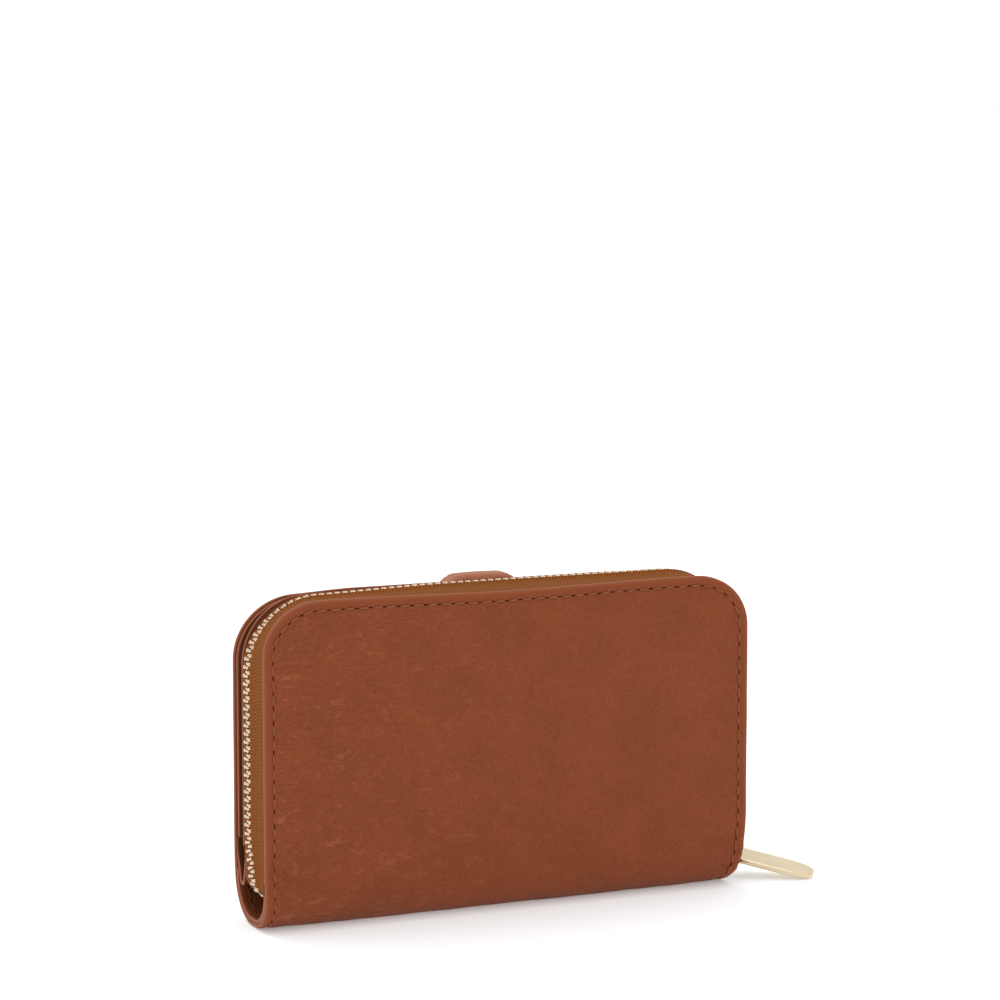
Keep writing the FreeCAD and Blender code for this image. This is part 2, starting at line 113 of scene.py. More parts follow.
def turn_between(child, low, high):
    """A soft joint's bodies, and the heights between which its turn would be spread."""
    return "core", child, (0, 0, low * MM), (0, 0, high * MM)


REAR_BEND = turn_between("rear", REAR_FOLD_Z - 5.0, REAR_FOLD_Z + 5.0)
FLAP_BEND = turn_between("flap", FLAP_FOLD_Z - 4.6, FLAP_FOLD_Z + 3.4)
TAB_BEND = ("core", "tab", (0, 9.2 * MM, 0), (0, 11.8 * MM, 0))


def unit(v):
    return v / np.maximum(np.linalg.norm(v, axis=-1, keepdims=True), 1e-12)


def smooth(low, high, v):
    t = np.clip((v - low) / (high - low), 0, 1)
    return t * t * (3 - 2 * t)


def hill(v, middle, width):
    return np.exp(-((v - middle) / width) ** 2)


def rounded(v, power):
    """A sine or cosine raised to a power, with its sign kept: turns a circle into a rounded oblong."""
    return math.copysign(abs(v) ** power, v)


def angles(count, first=0.0):
    return [2 * math.pi * (k + first) / count for k in range(count)]


def lengths(pts):
    """The distance along a line of points, up to each of them."""
    return np.concatenate([[0], np.cumsum(np.linalg.norm(np.diff(pts, axis=0), axis=1))])


def between(where, s, pts):
    """Points of a line at the distances where, s being the distances of its own points."""
    return np.stack([np.interp(where, s, pts[:, k]) for k in range(pts.shape[1])], -1)


def resample(pts, gap):
    pts = np.asarray(pts, float)
    s = lengths(pts)
    return between(np.linspace(0, s[-1], max(2, int(s[-1] / gap) + 1)), s, pts)


def noise_field(count, wave_low, wave_high, seed):
    """A smooth random field of x and s, as a sum of waves with the given wavelengths in millimetres."""
    r = np.random.default_rng(seed)
    angle = r.uniform(0, 2 * math.pi, count)
    k = 2 * math.pi / r.uniform(wave_low, wave_high, count)
    phase = r.uniform(0, 2 * math.pi, count)

    def field(x, s):
        total = 0.0
        for a, f, p in zip(angle, k, phase):
            total = total + np.sin(f * (x * math.cos(a) + s * math.sin(a)) + p)
        return total / math.sqrt(count)

    return field


# ---- meshes ----
def linked(name, data):
    obj = bpy.data.objects.new(name, data)
    bpy.context.scene.collection.objects.link(obj)
    return obj


def make_object(name, verts, faces, material, attributes=None):
    """A mesh object from points in millimetres. Attributes are one value or one vector a point."""
    mesh = bpy.data.meshes.new(name)
    mesh.from_pydata((np.asarray(verts, float) * MM).tolist(), [], [list(f) for f in faces])
    for key, values in (attributes or {}).items():
        values = np.asarray(values, np.float32)
        kind, slot = ("FLOAT", "value") if values.ndim == 1 else ("FLOAT_VECTOR", "vector")
        mesh.attributes.new(key, kind, "POINT").data.foreach_set(slot, values.ravel())
    bm = bmesh.new()
    bm.from_mesh(mesh)
    bmesh.ops.recalc_face_normals(bm, faces=bm.faces)
    bm.to_mesh(mesh)
    bm.free()
    mesh.polygons.foreach_set("use_smooth", [True] * len(mesh.polygons))
    mesh.materials.append(material)
    return linked(name, mesh)


def place(obj, follows, slot, *nodes):
    """Attaches a piece to its body, or only bakes its place into its mesh where it follows a bend, and hides
    the CAD nodes that it stands for; slot is not used.
    """
    if isinstance(follows, str):
        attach(obj, follows)
    else:
        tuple(follows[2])
        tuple(follows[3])
        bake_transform(obj)
    if nodes:
        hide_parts(*nodes)
    return obj


def slab(points, normals, thick, rim, flat, out=None):
    """A closed slab under a grid of points, with a rounded rim. Returns points, faces and attributes.

    points and normals are rows x columns x 3. out is the way off the grid at its border."""
    rows, cols = points.shape[:2]
    ring = [(0, j) for j in range(cols)] + [(i, cols - 1) for i in range(1, rows)]
    ring += [(rows - 1, j) for j in range(cols - 2, -1, -1)] + [(i, 0) for i in range(rows - 2, 0, -1)]
    ri, rj = np.array(ring).T
    base, n = points[ri, rj], normals[ri, rj]
    if out is None:
        away = base - points[np.clip(ri, 1, rows - 2), np.clip(rj, 1, cols - 2)]
        out = unit(away - n * (away * n).sum(-1, keepdims=True))
    else:
        out = out[ri, rj]
    steps = [(math.sin(a) * rim, (1 - math.cos(a)) * rim) for a in np.radians([30, 60, 90])]
    steps += [(rim * 1.08, thick / 2)] + [(o, thick - d) for o, d in reversed(steps)]
    verts = [points.reshape(-1, 3), (points - normals * thick).reshape(-1, 3)]
    verts += [base + out * o - n * d for o, d in steps]
    first, size = rows * cols, len(ring)
    loops = [ri * cols + rj] + [2 * first + k * size + np.arange(size) for k in range(len(steps))]
    loops.append(first + ri * cols + rj)
    idx = np.arange(first).reshape(rows, cols)
    quads = np.stack([idx[:-1, :-1], idx[:-1, 1:], idx[1:, 1:], idx[1:, :-1]], -1).reshape(-1, 4)
    faces = quads.tolist() + (quads[:, ::-1] + first).tolist()
    for a, b in zip(loops, loops[1:]):
        faces.extend(np.stack([a, b, np.roll(b, -1), np.roll(a, -1)], -1).tolist())
    pattern = flat.reshape(-1, 3)
    flats = [pattern, pattern * [1, 1, 0] + BACK_SHIFT] + [flat[ri, rj] + [d, d * 0.7, 0] for _, d in steps]
    edge = np.concatenate([np.zeros(2 * first), np.ones(size * len(steps))])
    return np.concatenate(verts), faces, {"flat": np.concatenate(flats), "edge": edge}


def ring_faces(rings, around, closed=False):
    """Quads between rings of points, with a cap at each end unless the last ring joins the first."""
    faces = [(i * around + k, i * around + (k + 1) % around,
              (i + 1) % rings * around + (k + 1) % around, (i + 1) % rings * around + k)
             for i in range(rings if closed else rings - 1) for k in range(around)]
    if not closed:
        faces += [tuple(range(around)), tuple(range((rings - 1) * around, rings * around))]
    return faces


def wire_ring(path, radius, around):
    """Points and faces of a round wire along a closed path."""
    tangent = unit(np.roll(path, -1, 0) - np.roll(path, 1, 0))
    guide = unit(np.cross(tangent[0], [0.31, 0.52, 0.79]))
    verts = []
    for p, t in zip(path, tangent):
        guide = unit(guide - t * guide.dot(t))
        other = np.cross(t, guide)
        verts += [p + (guide * math.cos(a) + other * math.sin(a)) * radius for a in angles(around)]
    return np.array(verts), ring_faces(len(path), around, closed=True)


def joined(parts):
    """One set of points and faces from several."""
    verts, faces, start = [], [], 0
    for v, f in parts:
        verts.append(np.asarray(v))
        faces.extend([[i + start for i in q] for q in f])
        start += len(v)
    return np.concatenate(verts), faces


def lathe(profile, centre=(0, 0, 0), around=48):
    """Points and faces of a shape turned round y. The profile is radius and y, from pole to pole."""
    verts = [np.array([r * math.cos(a), h, r * math.sin(a)]) + centre
             for r, h in profile for a in angles(around)]
    return np.array(verts), ring_faces(len(profile), around)


# ---- materials ----
class Shader:
    """A node tree in the making, with one call for each kind of node."""

    def __init__(self, name, **fixed):
        self.material = bpy.data.materials.new(name)
        self.material.use_nodes = True
        self.tree = self.material.node_tree
        self.bsdf = self.tree.nodes["Principled BSDF"]
        for key, value in fixed.items():
            self.bsdf.inputs[key.replace("_", " ")].default_value = value

    def add(self, kind, settings=None, out=0, **inputs):
        node = self.tree.nodes.new("ShaderNode" + kind)
        for key, value in (settings or {}).items():
            setattr(node, key, value)
        for key, value in inputs.items():
            self.feed(node, int(key[1:]) if key[0] == "i" and key[1:].isdigit() else key, value)
        return node.outputs[out]

    def feed(self, node, key, value):
        socket = node.inputs[key]
        if isinstance(value, bpy.types.NodeSocket):
            self.tree.links.new(value, socket)
        else:
            socket.default_value = value

    def attribute(self, name, vector=False):
        return self.add("Attribute", {"attribute_name": name}, out=1 if vector else 2)

    def place(self):
        return self.add("TexCoord", out=3)

    def axes(self, vector):
        node = self.tree.nodes.new("ShaderNodeSeparateXYZ")
        self.feed(node, 0, vector)
        return node.outputs

    def math(self, op, a, b=0.0, c=0.0):
        return self.add("Math", {"operation": op}, i0=a, i1=b, i2=c)

    def times(self, a, b):
        return self.math("MULTIPLY", a, b)

    def plus(self, a, b):
        return self.math("ADD", a, b)

    def noise(self, vector, scale, detail=3.0, rough=0.5):
        return self.add("TexNoise", Vector=vector, Scale=scale, Detail=detail, Roughness=rough)

    def cells(self, vector, scale):
        return self.add("TexVoronoi", {"feature": "DISTANCE_TO_EDGE"}, Vector=vector, Scale=scale)

    def stretch(self, vector, scale):
        return self.add("Mapping", Vector=vector, Scale=scale)

    def step(self, value, low, high, out_low=0.0, out_high=1.0):
        ends = {"From Min": low, "From Max": high, "To Min": out_low, "To Max": out_high}
        return self.add("MapRange", {"interpolation_type": "SMOOTHSTEP"}, Value=value, **ends)

    def mix(self, factor, a, b):
        node = self.tree.nodes.new("ShaderNodeMix")
        node.data_type = "RGBA"
        self.feed(node, 0, factor)
        for key, colour in ((6, a), (7, b)):
            self.feed(node, key, colour if isinstance(colour, bpy.types.NodeSocket) else (*colour, 1))
        return node.outputs[2]

    def bump(self, height, depth):
        return self.add("Bump", Height=height, Distance=depth * MM, Strength=1.0)

    def finish(self, colour, rough=None, normal=None):
        self.feed(self.bsdf, "Base Color", colour)
        if rough is not None:
            self.feed(self.bsdf, "Roughness", rough)
        if normal is not None:
            self.feed(self.bsdf, "Normal", normal)
        return self.material


def leather(name, dark, mid, pale_line_and_highlight, paint, grain=1.0, creases=1.0):
    """Pebbled leather: low domed cells with pale lines between them, long creases, a painted cut edge; the pale
    lines are partly the grain's own tone and partly painted highlight.
    """
    m = Shader(name, Specular_IOR_Level=0.2)
    flat = m.attribute("flat", vector=True)
    edge = m.attribute("edge")
    margin = m.attribute("margin")
    warp = m.add("TexNoise", {"noise_dimensions": "3D"}, out=1, Vector=flat, Scale=0.5, Detail=2.0)
    bent = m.add("VectorMath", {"operation": "MULTIPLY_ADD"}, i0=warp, i1=(0.9, 0.9, 0), i2=flat)
    cell = m.cells(bent, 0.5)
    # creases run along the wallet, in patches, and grow towards its left-hand end
    left = m.step(m.axes(flat)[0], -78.0, 30.0, 1.0, 0.12)
    crease = m.noise(m.stretch(bent, (0.075, 0.34, 1.0)), 1.0, 1.5, 0.4)
    thin = m.step(m.math("ABSOLUTE", m.math("SUBTRACT", crease, 0.5)), 0.0, 0.03, 1.0, 0.0)
    patches = m.step(m.noise(flat, 0.12, 2.0), 0.36, 0.56)
    thin = m.times(m.times(thin, left), m.times(patches, creases))
    inside = m.step(margin, 1.6, 4.6, 0.08, 1.0)
    net = m.times(m.step(cell, 0.0, 0.17, 1.0, 0.0), m.step(m.noise(flat, 0.3, 2.0), 0.35, 0.7, 0.2, 1.0))
    net = m.times(net, m.math("MULTIPLY_ADD", left, 0.22, 0.16))
    # the pale lines between the cells and along the creases: partly the grain's own tone, partly painted
    # highlight on the pebbles
    pale_lines_and_highlight = m.times(m.math("MAXIMUM", net, thin), inside)
    colour = m.mix(m.step(m.noise(flat, 0.06), 0.3, 0.7), dark, mid)
    colour = m.mix(m.times(pale_lines_and_highlight, 0.27), colour, pale_line_and_highlight)
    colour = m.mix(m.step(margin, 0.0, 1.5, 0.6, 0.0), colour, paint)
    colour = m.mix(m.step(edge, 0.2, 0.9), colour, paint)
    small = m.step(m.cells(bent, 1.1), 0.0, 0.22)
    height = m.plus(m.times(m.step(cell, 0.0, 0.26), 0.8), m.times(small, 0.2))
    height = m.math("SUBTRACT", height, m.times(thin, 0.7))
    height = m.plus(height, m.times(m.noise(flat, 3.0), 0.2))
    height = m.times(height, m.times(inside, m.step(edge, 0.1, 0.6, 1.0, 0.12)))
    rough = m.plus(0.46, m.times(m.noise(flat, 0.9), 0.14))
    return m.finish(colour, rough, m.bump(height, 0.26 * grain))


def smooth_leather(name, dark, mid):
    """Thin smooth leather with a fine print."""
    m = Shader(name, Specular_IOR_Level=0.22)
    flat = m.attribute("flat", vector=True)
    colour = m.mix(m.step(m.noise(flat, 0.09), 0.3, 0.7), dark, mid)
    colour = m.mix(m.step(m.attribute("edge"), 0.2, 0.9), colour, EDGE_PAINT)
    height = m.plus(m.step(m.cells(flat, 1.7), 0.0, 0.25), m.times(m.noise(flat, 2.5, 4.0), 0.6))
    return m.finish(colour, m.plus(0.44, m.times(m.noise(flat, 0.6), 0.14)), m.bump(height, 0.035))


def herringbone(name, dark, light, stripe, line, depth, rough=0.62):
    """Woven tape: slanting ribs that change way from stripe to stripe."""
    m = Shader(name, Specular_IOR_Level=0.06)
    flat = m.attribute("flat", vector=True)
    along, across, _ = m.axes(flat)
    folded = m.math("PINGPONG", across, stripe)
    uneven = m.plus(along, m.times(m.noise(flat, 0.8, 2.0), 0.18))
    wave = m.math("SINE", m.times(m.plus(uneven, folded), 2 * math.pi / line))
    ribs = m.math("MULTIPLY_ADD", wave, 0.5, 0.5)
    cross = m.math("SINE", m.times(m.math("SUBTRACT", along, folded), 2 * math.pi / line * 1.9))
    fibre = m.math("MULTIPLY_ADD", cross, 0.12, m.times(m.noise(flat, 5.0), 0.3))
    height = m.plus(ribs, fibre)
    colour = m.mix(m.step(height, 0.1, 1.15), dark, light)
    colour = m.mix(m.step(folded, 0.0, 0.16, 0.6, 0.0), colour, dark)
    return m.finish(colour, m.plus(rough, m.times(fibre, 0.2)), m.bump(height, depth))


def metal(name, colour, rough, brush=0.0, along=(1, 1, 1)):
    """Plated metal, with a faint brushed grain."""
    m = Shader(name, Metallic=1.0)
    grain = m.noise(m.stretch(m.place(), along), 900.0)
    stain = m.noise(m.place(), 90.0)
    shade = m.mix(m.step(stain, 0.3, 0.7), tuple(c * 0.9 for c in colour), colour)
    roughness = m.math("MULTIPLY_ADD", grain, brush * 0.6, rough)
    return m.finish(shade, roughness, m.bump(grain, 0.004 + brush * 0.02))


def thread_material(name, dark, light, shine=0.15):
    """Waxed sewing thread."""
    m = Shader(name, Specular_IOR_Level=shine, Roughness=0.6)
    fibre = m.noise(m.place(), 2600.0)
    return m.finish(m.mix(fibre, dark, light), None, m.bump(fibre, 0.02))


def plain_board(name):
    m = Shader(name, Specular_IOR_Level=0.2)
    fibre = m.noise(m.stretch(m.place(), (1, 1, 3)), 700.0, 5.0)
    return m.finish(m.mix(fibre, (0.36, 0.28, 0.2), (0.52, 0.44, 0.34)), 0.9, m.bump(fibre, 0.04))


EDGE_PAINT = (0.275, 0.079, 0.030)
COVER = leather("pebbled_leather", (0.198, 0.0415, 0.0085), (0.222, 0.0465, 0.0100), (0.46, 0.155, 0.065),
                EDGE_PAINT)
# the strap's leather: the cover's pebbled leather painted lighter, for the light that falls on the strap's top
STRAP_LEATHER_PAINTED_LIGHT = leather("strap_leather_painted_light", (0.34, 0.115, 0.055), (0.38, 0.132, 0.066), (0.46, 0.18, 0.10),
                      (0.46, 0.19, 0.11), grain=0.5, creases=0.0)
INNER = smooth_leather("inner_leather", (0.085, 0.024, 0.009), (0.11, 0.031, 0.012))
SHELL = smooth_leather("shell_leather", (0.15, 0.036, 0.012), (0.185, 0.046, 0.015))
# the loop's leather: the inner leather painted darker, for the shade inside the hollow loop
SHADED_LOOP_LEATHER = smooth_leather("loop_leather_painted_shade", (0.07, 0.019, 0.007), (0.095, 0.026, 0.010))
SPINE_LINING = smooth_leather("spine_lining_leather", (0.15, 0.037, 0.010), (0.19, 0.048, 0.014))
TAPE = herringbone("zip_tape_weave", (0.095, 0.022, 0.002), (0.33, 0.098, 0.010), 2.3, 1.05, 0.12)
CLOTH = herringbone("lining_twill", (0.075, 0.03, 0.013), (0.13, 0.055, 0.026), 400.0, 0.55, 0.05, 0.7)
TEETH = metal("teeth_gold", (0.70, 0.51, 0.35), 0.27)
GILT = metal("gilt_satin", (0.76, 0.63, 0.43), 0.28, 0.12, (0.15, 1, 1))
POLISHED = metal("gilt_polished", (0.80, 0.64, 0.42), 0.2)
THREAD_BROWN = thread_material("thread_brown", (0.17, 0.045, 0.018), (0.33, 0.112, 0.055))
THREAD_LINING = thread_material("thread_lining", (0.07, 0.02, 0.009), (0.13, 0.040, 0.018))
# a dark lens material for each needle hole: painted shade, not thread
NEEDLE_HOLE_SHADE = thread_material("needle_hole_shade", (0.022, 0.004, 0.001), (0.045, 0.009, 0.003), 0.0)
BOARD = plain_board("fibre_board")


# ---- sheets ----
def bent_line(corners, radii, gap=0.12):
    """Closely spaced points along a line through corners, with each bend rounded to its radius."""
    pts = [np.array(c, float) for c in corners]
    line = [pts[0]]
    for before, corner, after, r in zip(pts, pts[1:], pts[2:], radii):
        a, b = unit(corner - before), unit(after - corner)
        turn = math.atan2(a[0] * b[1] - a[1] * b[0], a.dot(b))
        start = corner - a * r * math.tan(abs(turn) / 2)
        centre = start + np.array([-a[1], a[0]]) * math.copysign(r, turn)
        u, v = start - centre
        for t in np.linspace(0, turn, 13):
            line.append(centre + [u * math.cos(t) - v * math.sin(t), u * math.sin(t) + v * math.cos(t)])
    line = np.array(line + [pts[-1]])
    s = lengths(line)
    return between(np.linspace(0, s[-1], max(2, int(s[-1] / gap))), s, line)


def upright(y, low, high):
    """The line of a sheet that stands straight up."""
    return bent_line([(y, low), (y, high)], [])


class Sheet:
    """A sheet of leather or cloth: x across it and s along its line of y and z.

    side is 1 where the shown face is on the left of the line, looking along -X, and -1 where it is
    on the right. corner and low_corner round its ends. relief(x, s, d) lifts the shown face, d being
    the distance from the edge, and warp(points) moves every point of the sheet and what is sewn to it."""

    def __init__(self, line, half, corner, thick, side, low_corner=0.0, relief=None, warp=None, rim=0.35):
        self.line = np.asarray(line, float)
        self.s = lengths(self.line)
        self.length = self.s[-1]
        self.tangent = unit(np.gradient(self.line, self.s, axis=0))
        self.half, self.corner, self.low_corner = half, corner, low_corner
        self.thick, self.side, self.rim = thick, side, rim
        self.relief, self.warp = relief, warp

    def frame_at(self, x, s):
        """Point, normal and way along the line, without relief or warp."""
        x, s = np.broadcast_arrays(np.asarray(x, float), np.asarray(s, float))
        y, z = [np.interp(s, self.s, self.line[:, k]) for k in (0, 1)]
        ty, tz = [np.interp(s, self.s, self.tangent[:, k]) for k in (0, 1)]
        zero = np.zeros_like(y)
        t = unit(np.stack([zero, ty, tz], -1))
        n = np.stack([zero, -t[..., 2] * self.side, t[..., 1] * self.side], -1)
        return np.stack([x, y, z], -1), n, t

    def from_edge(self, x, s):
        """Distance from the sheet's edge, in its own flat."""
        dx = self.half - np.abs(x)
        top = self.length - s
        d = np.minimum(dx, top)
        r = self.corner
        if r:
            round_top = r - np.hypot(r - dx, r - top)
            d = np.where((dx < r) & (top < r), round_top, d)
        b = self.low_corner
        if b is not None:
            d = np.minimum(d, s)
            if b:
                round_low = b - np.hypot(b - dx, b - s)
                d = np.where((dx < b) & (s < b), round_low, d)
        return d

    def at(self, x, s):
        """Points on the shown face, with the sheet's relief and warp."""
        p, n, _ = self.frame_at(x, s)
        if self.relief is not None:
            p = p + n * self.relief(x, s, self.from_edge(x, s))[..., None]
        return self.warp(p) if self.warp is not None else p

    def rows(self, step):
        """The sheet's rows: place along the line, half width and the outline's way at each end."""
        r = max(self.corner - self.rim, 0)
        b = max((self.low_corner or 0) - self.rim, 0)
        low = self.rim if self.low_corner is not None else 0.0
        high = self.length - self.rim
        half = self.half - self.rim
        found = []
        if b:
            for a in np.linspace(-math.pi / 2, 0, max(5, int(b * 1.57 / step * 1.3)))[:-1]:
                found.append((low + b + b * math.sin(a), half - b + b * math.cos(a), a))
        start, end = low + b, high - r
        for s in np.linspace(start, end, max(2, int(round((end - start) / step)) + 1)):
            found.append((s, half, 0.0))
        if r:
            for a in np.linspace(0, math.pi / 2, max(6, int(r * 1.57 / step * 1.3)))[1:]:
                found.append((high - r + r * math.sin(a), half - r + r * math.cos(a), a))
        return np.array(found)

    def build(self, step=1.0, fine=0.55, zone=6.5, coarse=1.6):
        """Points, faces and attributes of the closed sheet."""
        rows = self.rows(step)
        near = np.arange(0, zone, fine)
        half = rows[:, 1][:, None]
        reach = np.minimum(half, self.half) - zone
        middle = np.linspace(-1, 1, max(3, int((self.half - zone) * 2 / coarse)))
        x = np.concatenate([-half + near[None, :], middle[None, :] * reach, half - near[None, ::-1]], 1)
        s = np.broadcast_to(rows[:, 0][:, None], x.shape)
        p, n, t = self.frame_at(x, s)
        d = self.from_edge(x, s)
        lift = self.relief(x, s, d) if self.relief is not None else np.zeros_like(x)
        front = p + n * lift[..., None]
        out = np.zeros_like(p)
        angle = rows[:, 2][:, None]
        for column, way in ((0, -1.0), (-1, 1.0)):
            out[:, column] = t[:, column] * np.sin(angle) + np.array([way, 0, 0]) * np.cos(angle)
        out[-1, 1:-1] = t[-1, 1:-1]
        out[0, 1:-1] = -t[0, 1:-1]
        for column in (0, -1):
            if not self.corner:
                out[-1, column] = unit(out[-1, column] + t[-1, column])
            if self.low_corner == 0:
                out[0, column] = unit(out[0, column] - t[0, column])
        if self.low_corner is None:
            out[0, 1:-1] = 0
        flat = np.stack([x, s, np.zeros_like(x)], -1)
        verts, faces, data = slab(front, n, self.thick, self.rim, flat, out)
        if self.warp is not None:
            verts = self.warp(verts)
        count = len(verts) - 2 * x.size
        data["margin"] = np.concatenate([d.ravel(), d.ravel(), np.zeros(count)])
        return verts, faces, data

    def outline(self, inset, start):
        """Points x, s that far inside the edge, from start up the left side, over and down the right."""
        half, high = self.half - inset, self.length - inset
        r = max(self.corner - inset, 0.01)
        quarter = np.linspace(0, math.pi / 2, 24)
        pts = [(-half, start)]
        pts += [(-half + r - r * math.cos(a), high - r + r * math.sin(a)) for a in quarter]
        pts += [(half - r + r * math.sin(a), high - r + r * math.cos(a)) for a in quarter]
        return resample(pts + [(half, start)], 0.25)


def sewing(name, sheet, path, follows, pitch=STITCH_PITCH, radius=THREAD, slant=0.10, sink=0.34,
           thread=THREAD_BROWN, slot="leather"):
    """A row of stitches, each a twisted two-ply thread, and a dark lens at each needle hole that they dip into,
    painted shade in place of the hole's depth.
    """
    line = sheet.at(path[:, 0], path[:, 1])
    normal = sheet.frame_at(path[:, 0], path[:, 1])[1]
    s = lengths(line)
    count = int(s[-1] / pitch)
    pitch = s[-1] / count
    q = np.linspace(-1, 1, 13)
    angle = np.linspace(0, 2 * math.pi, 8, endpoint=False)
    lobes = 1 + 0.14 * np.cos(2 * (angle[None, :] - 2.6 * q[:, None]))
    ply = (radius * lobes) * (1 - 0.35 * q[:, None] ** 8)
    thread_faces = ring_faces(len(q), len(angle))
    threads, hole_shades = [], []

    def sample(where):
        return between(where, s, line), unit(between(where, s, normal))

    for i in range(count):
        reach = pitch * STITCH_FILL / 2 * random.uniform(0.95, 1.03)
        tilt = slant + random.uniform(-0.05, 0.05)
        p, n = sample((i + 0.5) * pitch + q * reach)
        b = np.cross(n, unit(np.gradient(p, axis=0)))
        height = radius * (0.62 + random.uniform(-0.12, 0.12)) - sink * q ** 6
        centre = p + n * height[:, None] + b * (tilt * q)[:, None]
        ring = centre[:, None, :] + ply[..., None] * (np.cos(angle)[None, :, None] * b[:, None, :] * 1.1 +
                                                     np.sin(angle)[None, :, None] * n[:, None, :])
        threads.append((ring.reshape(-1, 3), thread_faces))
    # dark lenses at the needle holes: painted shade standing in for the depth of each hole
    ball, ball_faces = lathe([(0.02, -1), (0.6, -0.8), (0.95, -0.3), (0.95, 0.3), (0.6, 0.8), (0.02, 1)],
                             around=10)
    for i in range(count + 1):
        p, n = sample(np.array([0, -0.1, 0.1]) + i * pitch)
        n = n[0]
        t = unit(p[2] - p[1])
        size = np.array([(1 - STITCH_FILL) * pitch * 0.62, 0.09, radius * 0.95]) * random.uniform(0.85, 1.1)
        hole_shades.append((p[0] + (ball * size) @ np.stack([t, n, np.cross(n, t)]), ball_faces))
    for label, parts, material in ((name, threads, thread), (name + "_hole_shades", hole_shades, NEEDLE_HOLE_SHADE)):
        place(make_object(label, *joined(parts), material), follows, slot)


def make_sheet(name, sheet, material, follows, slot, nodes=(), **mesh):
    v, f, data = sheet.build(**mesh)
    return place(make_object(name, v, f, material, data), follows, slot, *nodes)


# ---- the outer cover: two sheets that meet under the spine ----
def spine_line(face_y, top, side):
    """From the middle of the foot round the spine and up: y and z."""
    t = np.radians(np.linspace(0, 90, 140))
    y = SPINE_RADIUS * np.sin(t)
    z = SPINE_Z - SPINE_RADIUS * np.cos(t)
    z = 0.5 * (z + np.sqrt(z * z + 0.14 ** 2))
    up = np.linspace(SPINE_Z + 0.15, top, 600)
    y_up = SPINE_RADIUS + (face_y - SPINE_RADIUS) * smooth(SPINE_Z, SPINE_Z + 18, up)
    return np.stack([np.concatenate([y, y_up]) * side, np.concatenate([z, up])], -1)


def end_curl(p):
    """The spine's ends are drawn in where the leather turns underneath, the right one more."""
    p = p.copy()
    x, z = p[..., 0], p[..., 2]
    right = smooth(HALF - 26, HALF, x)
    left = smooth(HALF - 20, HALF, -x)
    pull_right = 1.3 * smooth(24, 2, z) + 1.5 * np.exp(-np.clip(z, 0, None) / 2.9)
    pull_left = 0.4 * smooth(20, 2, z) + 0.4 * np.exp(-np.clip(z, 0, None) / 2.9)
    lift = 0.2 * (right + left) ** 2 * smooth(6, 0, z)
    p[..., 0] = x - right * pull_right + left * pull_left + 0.7 * smooth(15, HALF, x)
    p[..., 2] = z + lift
    return p


def moved(p, axis, amount):
    """The points with one of their coordinates moved."""
    p = p.copy()
    p[..., axis] += amount
    return p


def sag(p, depth):
    """The top edge dips between its corners, and again as it comes to them."""
    x = np.abs(p[..., 0])
    across = np.cos(np.clip(x / (HALF - 20), 0, 1) * math.pi / 2) ** 2
    rise = 0.15 - depth * across - 0.5 * smooth(HALF - 18, HALF - 8, x)
    return moved(p, 2, rise * smooth(TOP - 30, TOP, p[..., 2]))


def crown(p):
    """The zip stands up along the top, highest right of the middle, and falls away to the left."""
    x, y, z = np.moveaxis(p, -1, 0)
    rise = -0.45 + 1.1 * smooth(-60, -12, x) - 0.25 * smooth(58, 72, x)
    hump = smooth(-12.0, -1.0, y) * (1 - 0.5 * smooth(2.0, 7.0, y))
    return moved(p, 2, rise * hump * smooth(80, 91, z))


def shoulders(p):
    """The flap's top edge rises a little between its corners."""
    rise = -0.45 + 0.95 * smooth(66, 38, np.abs(p[..., 0]))
    return moved(p, 2, rise * smooth(78, 92, p[..., 2]))


rear_wave = noise_field(14, 18, 55, 3)
rear_ripple = noise_field(18, 6, 14, 4)
flap_wave = noise_field(14, 18, 60, 5)


def seam_relief(d):
    """A sewn edge: a rounded welt, the groove that the stitches lie in, and the panel's swell inside it."""
    swell = 0.16 * (1 - np.exp(-np.clip(d - STITCH_INSET, 0, None) / 3.0))
    return -0.20 * hill(d, STITCH_INSET, 0.55) + 0.05 * hill(d, 1.3, 0.7) + swell


def pucker(x, s, x0, s0, size, depth, folds, lean=0.0):
    """Small folds that fan out from a tight stitch."""
    dx, ds = x - x0, s - s0
    r = np.hypot(dx, ds)
    fan = np.cos(folds * np.arctan2(ds, dx) + lean) * hill(r, size * 0.55, size * 0.5)
    return depth * (fan * smooth(0.0, size * 0.35, r) - 1.6 * hill(r, 0, size * 0.28))


def belly(x, s, top):
    """The swell of a whole panel above the spine."""
    rise = np.sin(np.clip((s - SPINE_ARC) / (top - SPINE_Z), 0, 1) * math.pi)
    return np.cos(np.clip(x / HALF, -1, 1) * math.pi / 2) * rise


def rear_relief(x, s, d):
    lift = seam_relief(d) + 0.10 * rear_wave(x, s) + 0.035 * rear_ripple(x, s)
    lift = lift + pucker(x, s, -HALF + 3.1, SPINE_ARC + 2.2, 6.5, 0.2, 17)
    lift = lift + pucker(x, s, HALF - 3.0, SPINE_ARC - 4.5, 7.0, 0.22, 13, 0.8)
    return lift + 0.35 * belly(x, s, TOP)


def rear_warp(p):
    return sag(end_curl(p), 0.7)


def flap_relief(x, s, d):
    under_strap = -0.25 * smooth(14, 9, np.abs(x)) * smooth(60, 70, s - SPINE_ARC + SPINE_Z)
    return seam_relief(d) + 0.12 * flap_wave(x, s) + 0.3 * belly(x, s, flap_high[2]) + under_strap


